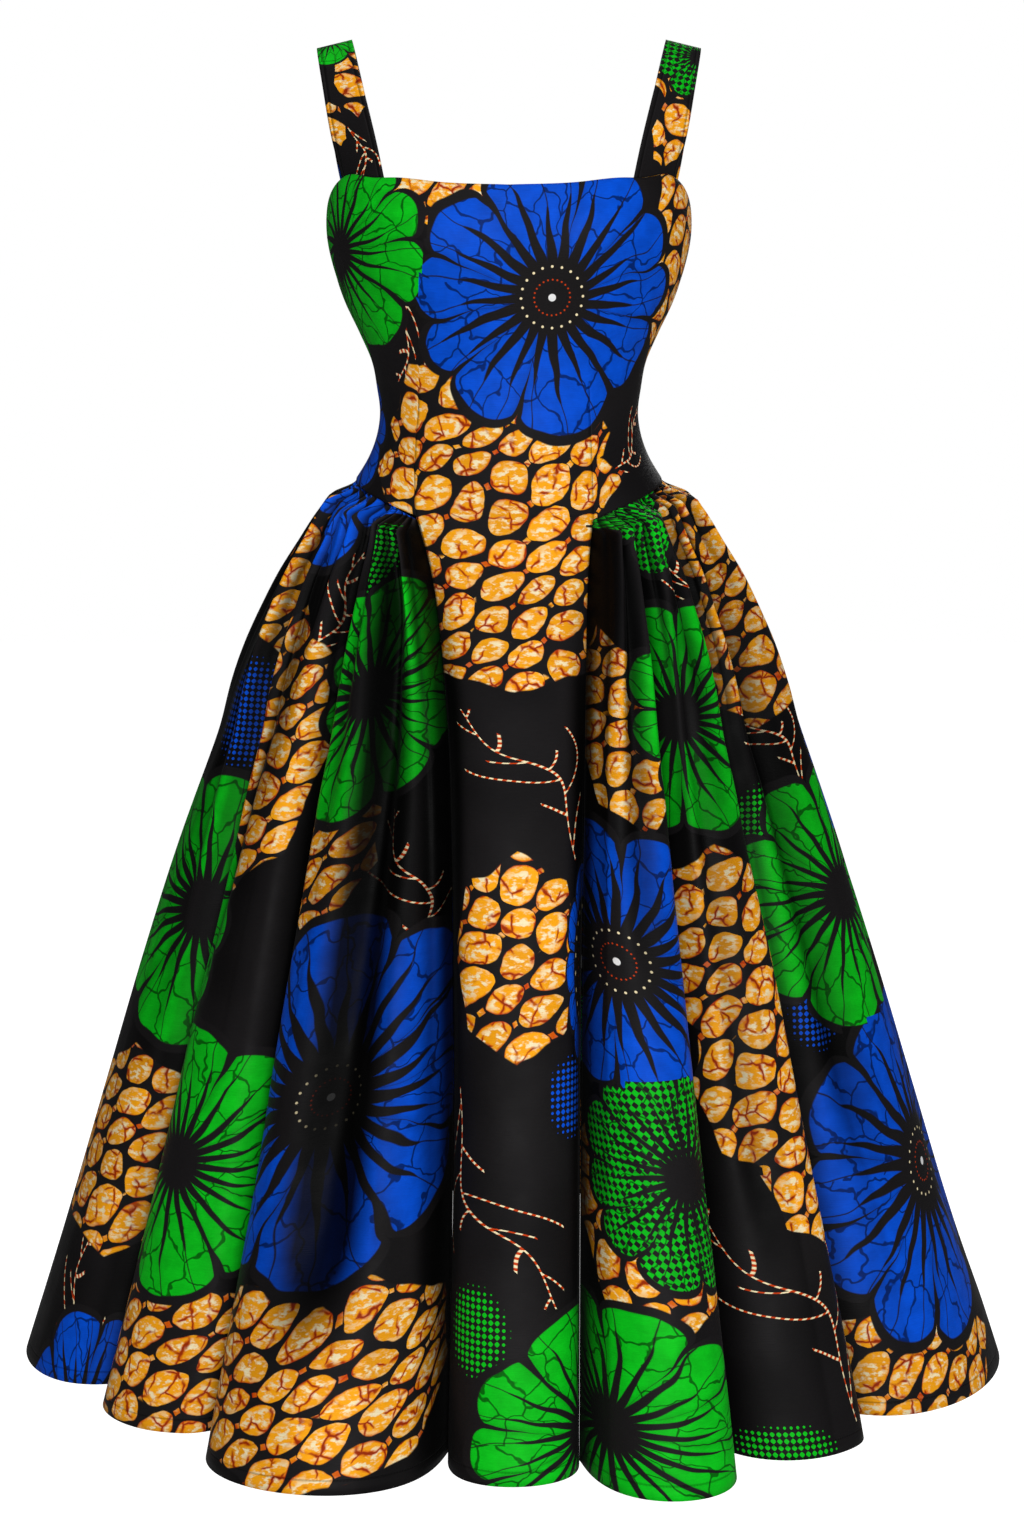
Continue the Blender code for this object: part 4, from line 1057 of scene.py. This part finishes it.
def make_seam_group():
    """Sunk seam lines and hem stitches, from the distances that a piece carries on its points."""
    given, result = shader_group("seam_lines", "Seams Cloth", "", {"Hem": 0.010, "Stitch": 0.0026},
                                 "Height Shade")
    dart, hem, side = (abs(signal) for signal in split(given["Seams"]))
    in_line = step(abs(hem - given["Hem"]), 0.0009, 0.0003)
    beat = calc("FRACT", split(given["Cloth"])[0] / given["Stitch"] + 900.0)
    stitch = in_line * step(beat, 0.80, 0.70)
    sunk = step(dart, 0.0002, 0.0022) + step(side, 0.0, 0.0025)
    put(result["Height"], stitch * 0.5 + (in_line * -0.8 + sunk))
    shade = step(dart, 0.0002, 0.0010, 0.45, 1.0) * step(side, 0.0, 0.0012, 0.6, 1.0)
    put(result["Shade"], shade * (in_line * -0.35 + 1.0))


def print_material():
    """The printed cotton: black ground, then gold cells, dots, sprigs and flowers, one over another."""
    if "wax_printed_cotton" in bpy.data.materials:
        return bpy.data.materials["wax_printed_cotton"]
    made, tree, shader = new_material("wax_printed_cotton")

    def stored(name, output="Vector"):
        return add_node("ShaderNodeAttribute", output, {}, tree, attribute_name=name)

    dyes = {name.capitalize(): tuple(getattr(bpy.context.scene.dress_print, name)) + (1.0,)
            for name in DressPrint.__annotations__}
    cloth = add_node("ShaderNodeUVMap", "UV", {}, tree, uv_map="cloth")
    light, ring = stored("light", "Fac"), stored("flower_ring", "Fac")
    ground = dyes["Ground"]
    faded = tuple(c * 0.6 for c in ground[:3]) + (1.0,)
    # light is the painted shade and highlight of the folds, multiplied into the colour; the ground takes it
    # more strongly
    colour = blend(step(noise(cloth, 9.0, 2.0), 0.35, 0.70), ground, faded) * light ** 2.2
    layers = [place_group(tree, name, Place=stored(kind), Cloth=cloth, Ring=ring, **dyes)
              for name, kind in (("gold_cells", "gold"), ("dot_net", "net"), ("dashed_sprig", "sprig"),
                                 ("printed_flower", "flower"))]
    masks = [layer["Mask"] for layer in layers]
    masks[2] = masks[2] * (1.0 - masks[0])
    for layer, mask in zip(layers, masks):
        colour = blend(mask, colour, layer["Colour"])
    weave = place_group(tree, "cotton_weave", Cloth=cloth)
    sewn = place_group(tree, "seam_lines", Seams=stored("seams"), Cloth=cloth)
    # the print's colour times the painted shade and highlight of the folds
    put(shader["Base Color"], colour * (weave["Tone"] * sewn["Shade"] * light))
    put(shader["Roughness"], step(noise(cloth, 25.0, 2.0), 0.3, 0.7, 0.50, 0.62))
    shader["Specular IOR Level"].default_value = 0.06
    shader["Sheen Weight"].default_value = 0.01
    shader["Sheen Roughness"].default_value = 0.4
    put(shader["Normal"], bump(sewn["Height"], 0.8, 0.0009, bump(weave["Height"], 0.25, 0.0008)))
    return made


def distance(name, description, default, low, high):
    return FloatProperty(name=name, description=description, default=default, min=low, max=high,
                         unit="LENGTH", precision=5)


def colour(name, description, default):
    return FloatVectorProperty(name=name, description=description, default=default, subtype="COLOR",
                               min=0.0, max=1.0)


def power(name, description, default):
    return FloatProperty(name=name, description=description, default=default, min=0.0, max=500.0,
                         unit="POWER")


def share(name, description, default, high=1.0):
    return FloatProperty(name=name, description=description, default=default, min=0.0, max=high)


class DressCloth(bpy.types.PropertyGroup):
    skirt_thickness: distance("Skirt cloth", "Thickness of the skirt's cloth", 0.0008, 0.0002, 0.003)
    bodice_thickness: distance("Bodice cloth", "Thickness of the bodice's doubled cloth",
                               0.0014, 0.0004, 0.004)
    gather_height: distance("Gathers", "Height of the gathers at the waist seam", 0.0105, 0.0, 0.015)
    fold_columns: IntProperty(name="Columns", description="Columns of the mesh across one fold",
                              default=64, min=12, max=90)


class DressPrint(bpy.types.PropertyGroup):
    ground: colour("Ground", "Black of the ground", (0.0110, 0.0098, 0.0105))
    blue: colour("Blue", "Blue of the flowers", (0.001, 0.085, 0.700))
    green: colour("Green", "Green of the flowers", (0.003, 0.560, 0.012))
    gold: colour("Gold", "Gold of the cells", (1.0, 0.400, 0.008))
    cream: colour("Cream", "Cream of blotches, dots and dashes", (1.0, 0.850, 0.520))
    red: colour("Red", "Red of the crackle", (0.620, 0.050, 0.002))


class DressStage(bpy.types.PropertyGroup):
    floor_drop: distance("Floor", "Height of the floor below the shoulders", 1.40, 1.15, 2.0)
    floor_glow: share("Floor glow", "How far the floor is lifted to the backdrop's white", 1.0)
    key_power: power("Key light", "Power of the soft light at the left", 98.0)
    fill_power: power("Fill light", "Power of the soft light at the right", 12.0)
    top_power: power("Top light", "Power of the soft light overhead", 12.0)
    back_power: power("Back light", "Power of the soft light behind", 32.0)
    ambient: share("Ambient", "Strength of the even light from all round", 0.08, 2.0)


class DRESS_OT_front_panel(bpy.types.Operator):
    """Front of the bodice and the skirt's centre panel, one piece of cloth from neckline to hem"""
    bl_idname = "dress.front_panel"
    bl_label = "Front panel"

    def execute(self, context):
        settings = context.scene.dress_cloth
        panel_polar = fold_polar(PANEL_LEFT, PANEL_RIGHT, settings.fold_columns)
        count = panel_polar.shape[1]
        panel = polar_to_points(panel_polar)
        bodice_grid = front_bodice_polar(count - 1)
        bodice = polar_to_points(bodice_grid)
        rows, columns = bodice.shape[:2]
        bodice[-1, FRONT_SIDE_COLUMNS:FRONT_SIDE_COLUMNS + count] = panel[0]
        bodice_cloth = cloth_coordinates(bodice, FRONT_SIDE_COLUMNS + count // 2)
        panel_cloth = cloth_coordinates(panel, count // 2, bodice_cloth[-1, 0, 1])
        across = bodice_cloth[..., 0]
        dart = np.minimum(*(np.abs(across - across[:, [line]])
                            for line in (FRONT_SIDE_COLUMNS, FRONT_SIDE_COLUMNS + count - 1)))
        dart = dart + ease((DART_TOP - bodice_grid[..., 2]) / DART_FADE) * DART_OFF
        bodice_seams = seam_values(dart.shape, dart=dart, side=side_distances(bodice_cloth))
        panel_seams = seam_values(panel.shape[:2], hem=HEM_DROP - panel_polar[..., 2],
                                  side=side_distances(panel_cloth), light=panel_polar[..., 3])
        joint = (rows - 1) * columns + FRONT_SIDE_COLUMNS + np.arange(count)
        first = rows * columns + np.arange(count)
        faces = np.concatenate([
            grid_faces(rows, columns),
            np.stack([first[:-1], first[1:], joint[1:], joint[:-1]], axis=-1),
            grid_faces(panel.shape[0] - 1, count, rows * columns),
        ])
        points, cloth, seams = (
            np.concatenate([flat_rows(upper), flat_rows(lower[1:])])
            for upper, lower in ((bodice, panel), (bodice_cloth, panel_cloth), (bodice_seams, panel_seams)))
        printed_cloth("front_panel", points, cloth, faces, seams, settings.skirt_thickness,
                      flat=(0.48, 1.045), area=0.223, held="stretched")
        return {"FINISHED"}


# Gathered pieces: their first and last valley, and the width, length and area each was cut to.
SKIRT_PIECES = (
    ("skirt_side_left", SIDE_LEFT, PANEL_LEFT, (0.91, 0.795), 0.466),
    ("skirt_side_right", PANEL_RIGHT, SIDE_RIGHT, (0.93, 0.795), 0.467),
    ("skirt_back_right", SIDE_RIGHT, CENTRE_BACK, (1.02, 0.815), 0.548),
    ("skirt_back_left", CENTRE_BACK, SIDE_LEFT_END, (1.03, 0.815), 0.552),
)


class DRESS_OT_skirt(bpy.types.Operator):
    """The four gathered pieces of the skirt"""
    bl_idname = "dress.skirt"
    bl_label = "Gathered skirt"

    def execute(self, context):
        settings = context.scene.dress_cloth
        for node, first, last, flat, area in SKIRT_PIECES:
            polar = fold_polar(first, last, settings.fold_columns)
            printed_grid(node, polar_to_points(polar), settings.skirt_thickness, flat, area, "gathered",
                         hem=HEM_DROP - polar[..., 2], light=polar[..., 3])
        return {"FINISHED"}


class DRESS_OT_bodice_back(bpy.types.Operator):
    """The two halves of the back of the bodice"""
    bl_idname = "dress.bodice_back"
    bl_label = "Bodice back"

    def execute(self, context):
        gap = SEAM_GAP / 2 / BACK_RADIUS
        for node, low, high in (("bodice_back_right", 90.0, 180.0), ("bodice_back_left", 180.0, 270.0)):
            theta = np.linspace(math.radians(low) + gap, math.radians(high) - gap, BACK_COLUMNS)
            theta = np.repeat(theta[None, :], BODICE_ROWS + 1, axis=0)
            polar = bodice_polar(theta, seam_drop(theta[-1]) - SEAM_GAP / 2)
            printed_grid(node, polar_to_points(polar), context.scene.dress_cloth.bodice_thickness,
                         (0.216, 0.23), 0.042)
        return {"FINISHED"}


def edge_point(theta):
    """Point just above the bodice's top edge."""
    drop = top_drop(theta) - STRAP_GAP
    return polar_to_points(np.stack([theta, bodice_radius(theta, drop), drop], axis=-1))


def strap_points():
    """The right strap: two smooth edge lines over the shoulder, joined by straight lines across,
    whose ends fade by an exponential into the curve of the bodice's edge."""
    across = spaced(STRAP_ACROSS)
    front = edge_point(np.radians(mix(STRAP_INNER_ANGLE, STRAP_OUTER_ANGLE, across)))
    back = edge_point(np.radians(mix(BACK_INNER_ANGLE, BACK_OUTER_ANGLE, across)))
    along = np.concatenate([[0.0], STRAP_SECTIONS["along"], [1.0]])
    s = spaced(STRAP_ROWS)
    edges = []
    for side, end in (("inner_", 0), ("outer_", -1)):
        lines = [np.array([front[end, axis], *STRAP_SECTIONS[side + letter], back[end, axis]])
                 for axis, letter in enumerate("xyz")]
        edges.append(np.stack([smooth(s, along, line) for line in lines], axis=-1)[:, None])
    inner, outer = edges
    grid = mix(inner, outer, across[None, :, None])
    s = s[:, None, None]
    leave, arrive = np.exp(-s / STRAP_EASE) * (1 - s), np.exp(-(1 - s) / STRAP_EASE) * s
    return grid + leave * (front - grid[0])[None] + arrive * (back - grid[-1])[None]


class DRESS_OT_straps(bpy.types.Operator):
    """The two shoulder straps"""
    bl_idname = "dress.straps"
    bl_label = "Straps"

    def execute(self, context):
        right = strap_points()
        for node, points in (("strap_right", right), ("strap_left", right[:, ::-1] * (-1.0, 1.0, 1.0))):
            cloth = cloth_coordinates(points, points.shape[1] // 2)
            seams = seam_values(cloth.shape[:2], dart=side_distances(cloth) - STRAP_STITCH)
            printed_cloth(node, points, cloth, grid_faces(*points.shape[:2])[:, ::-1], seams,
                          context.scene.dress_cloth.bodice_thickness,
                          flat=(0.057, 0.325), area=0.0125, held="stretched")
        return {"FINISHED"}


def zip_line(drop):
    """Distance behind the axis of the cloth's outer face along the centre back."""
    drops = mix(SIDE_SEAM_DROP, HEM_DROP, skirt_shares())
    skirt = np.interp(drop, drops, valley_lines()[1][:, CENTRE_BACK])
    return np.where(drop < SIDE_SEAM_DROP, bodice_radius(math.pi, drop), skirt)


def zip_points(inset=0.0):
    """The tape's outer face: at each height as near the cloth as a ball of ZIP_CLEAR allows."""
    drop = np.linspace(top_drop(math.pi) + ZIP_INSET, ZIP_END_DROP, ZIP_ROWS + 1)[:, None]
    reach = np.linspace(-ZIP_CLEAR, ZIP_CLEAR, 25)
    near = zip_line(drop + reach) - np.sqrt(ZIP_CLEAR ** 2 - reach ** 2)
    centre = near.min(axis=1)[:, None] - inset
    across = np.linspace(-ZIP_HALF_WIDTH, ZIP_HALF_WIDTH, ZIP_ACROSS + 1)[None, :]
    sag = centre * (1 - np.cos(across / centre)) * (drop < SIDE_SEAM_DROP - ZIP_FLAT)
    return np.stack(np.broadcast_arrays(-across, centre - sag, -drop), axis=-1)


def plain_material(name, colour, roughness, metallic=0.0, grain=900.0, relief=0.2):
    """A plain finish with fine grain in its colour, gloss and surface."""
    made, tree, shader = new_material(name)
    where = add_node("ShaderNodeTexCoord", "Object", {}, tree)
    grained = noise(where, grain, 3.0)
    worn = step(noise(where, grain / 8, 2.0), 0.35, 0.75)
    bright = tuple(min(1.0, c * 1.6) for c in colour) + (1.0,)
    put(shader["Base Color"], blend(worn, colour + (1.0,), bright))
    put(shader["Roughness"], step(grained, 0.2, 0.8, roughness * 0.8, min(1.0, roughness * 1.2)))
    shader["Metallic"].default_value = metallic
    put(shader["Normal"], bump(grained, relief, 0.0003))
    return made


def tooth_boxes(centres, size, lean):
    """Points and quads of equal boxes round the given centres, each turned by its lean about Y."""
    corner = np.array([(x, y, z) for x in (-0.5, 0.5) for y in (-0.5, 0.5) for z in (-0.5, 0.5)]) * size
    cos, sin = np.cos(lean)[:, None], np.sin(lean)[:, None]
    x, y, z = corner.T
    turned = np.stack([x * cos + z * sin, y + 0 * cos, z * cos - x * sin], axis=-1)
    points = centres[:, None] + turned
    quads = np.array([(0, 1, 3, 2), (4, 6, 7, 5), (0, 4, 5, 1), (2, 3, 7, 6), (0, 2, 6, 4), (1, 5, 7, 3)])
    faces = quads[None] + 8 * np.arange(len(centres))[:, None, None]
    return points.reshape(-1, 3), faces.reshape(-1, 4)


class DRESS_OT_zip(bpy.types.Operator):
    """The concealed zip in the centre back: its tape, its teeth and the finish of its slider and pull"""
    bl_idname = "dress.zip"
    bl_label = "Concealed zip"

    def execute(self, context):
        points = zip_points()
        weave = plain_material("zip_tape_weave", (0.016, 0.016, 0.018), 0.85, grain=1600.0)
        tape = add_object("zip_tape_cloth", points, grid_faces(*points.shape[:2]), weave)
        sew_on(tape, "zip_tape", "zip_tape", TAPE_THICKNESS, False, flat=(0.022, 0.36), held="stretched")

        line = zip_points(inset=TAPE_THICKNESS + TOOTH_SIZE[1] / 2)[:, ZIP_ACROSS // 2]
        top = line[0, 2] - TEETH_MARGIN
        number = np.arange(int((top - TEETH_MARGIN - line[-1, 2]) / TOOTH_PITCH))
        heights = top - TOOTH_PITCH * number
        behind = np.interp(-heights, -line[:, 2], line[:, 1])
        side = np.where(number % 2 == 0, 1.0, -1.0)
        centres = np.stack([side * TOOTH_SIZE[0] * TOOTH_OFF, behind, heights], axis=-1)
        coil = plain_material("zip_coil", (0.020, 0.020, 0.022), 0.45)
        teeth = add_object("zip_teeth", *tooth_boxes(centres, TOOTH_SIZE, side * TOOTH_LEAN), coil)
        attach(teeth, DRESS)
        metal = plain_material("black_enamelled_metal", (0.030, 0.030, 0.034), 0.30, 0.6, 700.0, 0.06)
        for name in ("zip_slider", "zip_pull"):
            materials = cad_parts[name].data.materials
            materials.clear()
            materials.append(metal)
        return {"FINISHED"}


def aim(made, place, direction):
    """Sets a lamp or a camera at a place, facing a direction, and links it to the scene."""
    made.location = place
    made.rotation_mode = "QUATERNION"
    made.rotation_quaternion = Vector(direction).to_track_quat("-Z", "Y")
    bpy.context.scene.collection.objects.link(made)


def area_light(name, place, size, power):
    """A large soft light that looks at the dress's middle."""
    light = bpy.data.lights.new(name, "AREA")
    light.shape = "DISK"
    light.size = size
    light.energy = power
    aim(bpy.data.objects.new(name, light), place, Vector(STAGE_MIDDLE) - Vector(place))


class DRESS_OT_stage(bpy.types.Operator):
    """Floor, soft studio light and the camera at the photograph's angle"""
    bl_idname = "dress.stage"
    bl_label = "Stage"

    def execute(self, context):
        scene = context.scene
        stage = scene.dress_stage
        lens = bpy.data.cameras.new("camera")
        lens.lens = CAMERA_LENS
        lens.sensor_width = SENSOR
        lens.clip_end = 60.0
        scene.camera = bpy.data.objects.new("camera", lens)
        aim(scene.camera, *camera_axes()[:2])
        scene.view_settings.view_transform = "Standard"

        pale, tree, shader = new_material("pale_floor")
        shader["Base Color"].default_value = (0.60, 0.60, 0.60, 1.0)
        shader["Roughness"].default_value = 0.9
        shader["Emission Color"].default_value = (1.0, 1.0, 1.0, 1.0)
        looked_at = add_node("ShaderNodeLightPath", "Is Camera Ray", {}, tree)
        put(shader["Emission Strength"], looked_at * stage.floor_glow)
        corners = np.array([(-1, -1, 0), (1, -1, 0), (1, 1, 0), (-1, 1, 0)]) * FLOOR_SIZE
        floor = add_object("floor", corners - (0.0, 0.0, stage.floor_drop), np.array([(0, 1, 2, 3)]), pale)

        area_light("key_light", (0.3, -3.7, 0.5), 1.0, stage.key_power)
        area_light("fill_light", (2.6, -2.2, 0.1), 1.6, stage.fill_power)
        area_light("top_light", (-0.4, -0.2, 2.2), 1.4, stage.top_power)
        area_light("back_light", (0.5, 3.0, 0.8), 2.2, stage.back_power)
        world = bpy.data.worlds.new("studio")
        world.use_nodes = True
        background = world.node_tree.nodes["Background"].inputs
        background["Color"].default_value = (1.0, 1.0, 1.0, 1.0)
        looked_at = add_node("ShaderNodeLightPath", "Is Camera Ray", {}, world.node_tree)
        put(background["Strength"], step(looked_at, 0.0, 1.0, stage.ambient, 1.0))
        scene.world = world
        return {"FINISHED"}


class DRESS_PT_sidebar(bpy.types.Panel):
    """Lists the dress's sizes, colours and pieces"""
    bl_idname = "DRESS_PT_sidebar"
    bl_label = "Fit and flare dress"
    bl_space_type = "VIEW_3D"
    bl_region_type = "UI"
    bl_category = "Dress"

    def draw(self, context):
        for group in (context.scene.dress_cloth, context.scene.dress_print, context.scene.dress_stage):
            box = self.layout.box()
            for name in group.__annotations__:
                box.prop(group, name)
        for operator in OPERATORS:
            self.layout.operator(operator.bl_idname)


OPERATORS = (DRESS_OT_front_panel, DRESS_OT_skirt, DRESS_OT_bodice_back, DRESS_OT_straps, DRESS_OT_zip,
             DRESS_OT_stage)
CLASSES = (DressCloth, DressPrint, DressStage) + OPERATORS + (DRESS_PT_sidebar,)


def register():
    for item in CLASSES:
        bpy.utils.register_class(item)
    bpy.types.Scene.dress_cloth = PointerProperty(type=DressCloth)
    bpy.types.Scene.dress_print = PointerProperty(type=DressPrint)
    bpy.types.Scene.dress_stage = PointerProperty(type=DressStage)


def unregister():
    del bpy.types.Scene.dress_cloth, bpy.types.Scene.dress_print, bpy.types.Scene.dress_stage
    for item in reversed(CLASSES):
        bpy.utils.unregister_class(item)


def main():
    register()
    make_flower_group()
    make_gold_group()
    make_net_group()
    make_sprig_group()
    make_weave_group()
    make_seam_group()
    for operator in OPERATORS:
        group, name = operator.bl_idname.split(".")
        getattr(getattr(bpy.ops, group), name)()


if __name__ == "__main__":
    main()
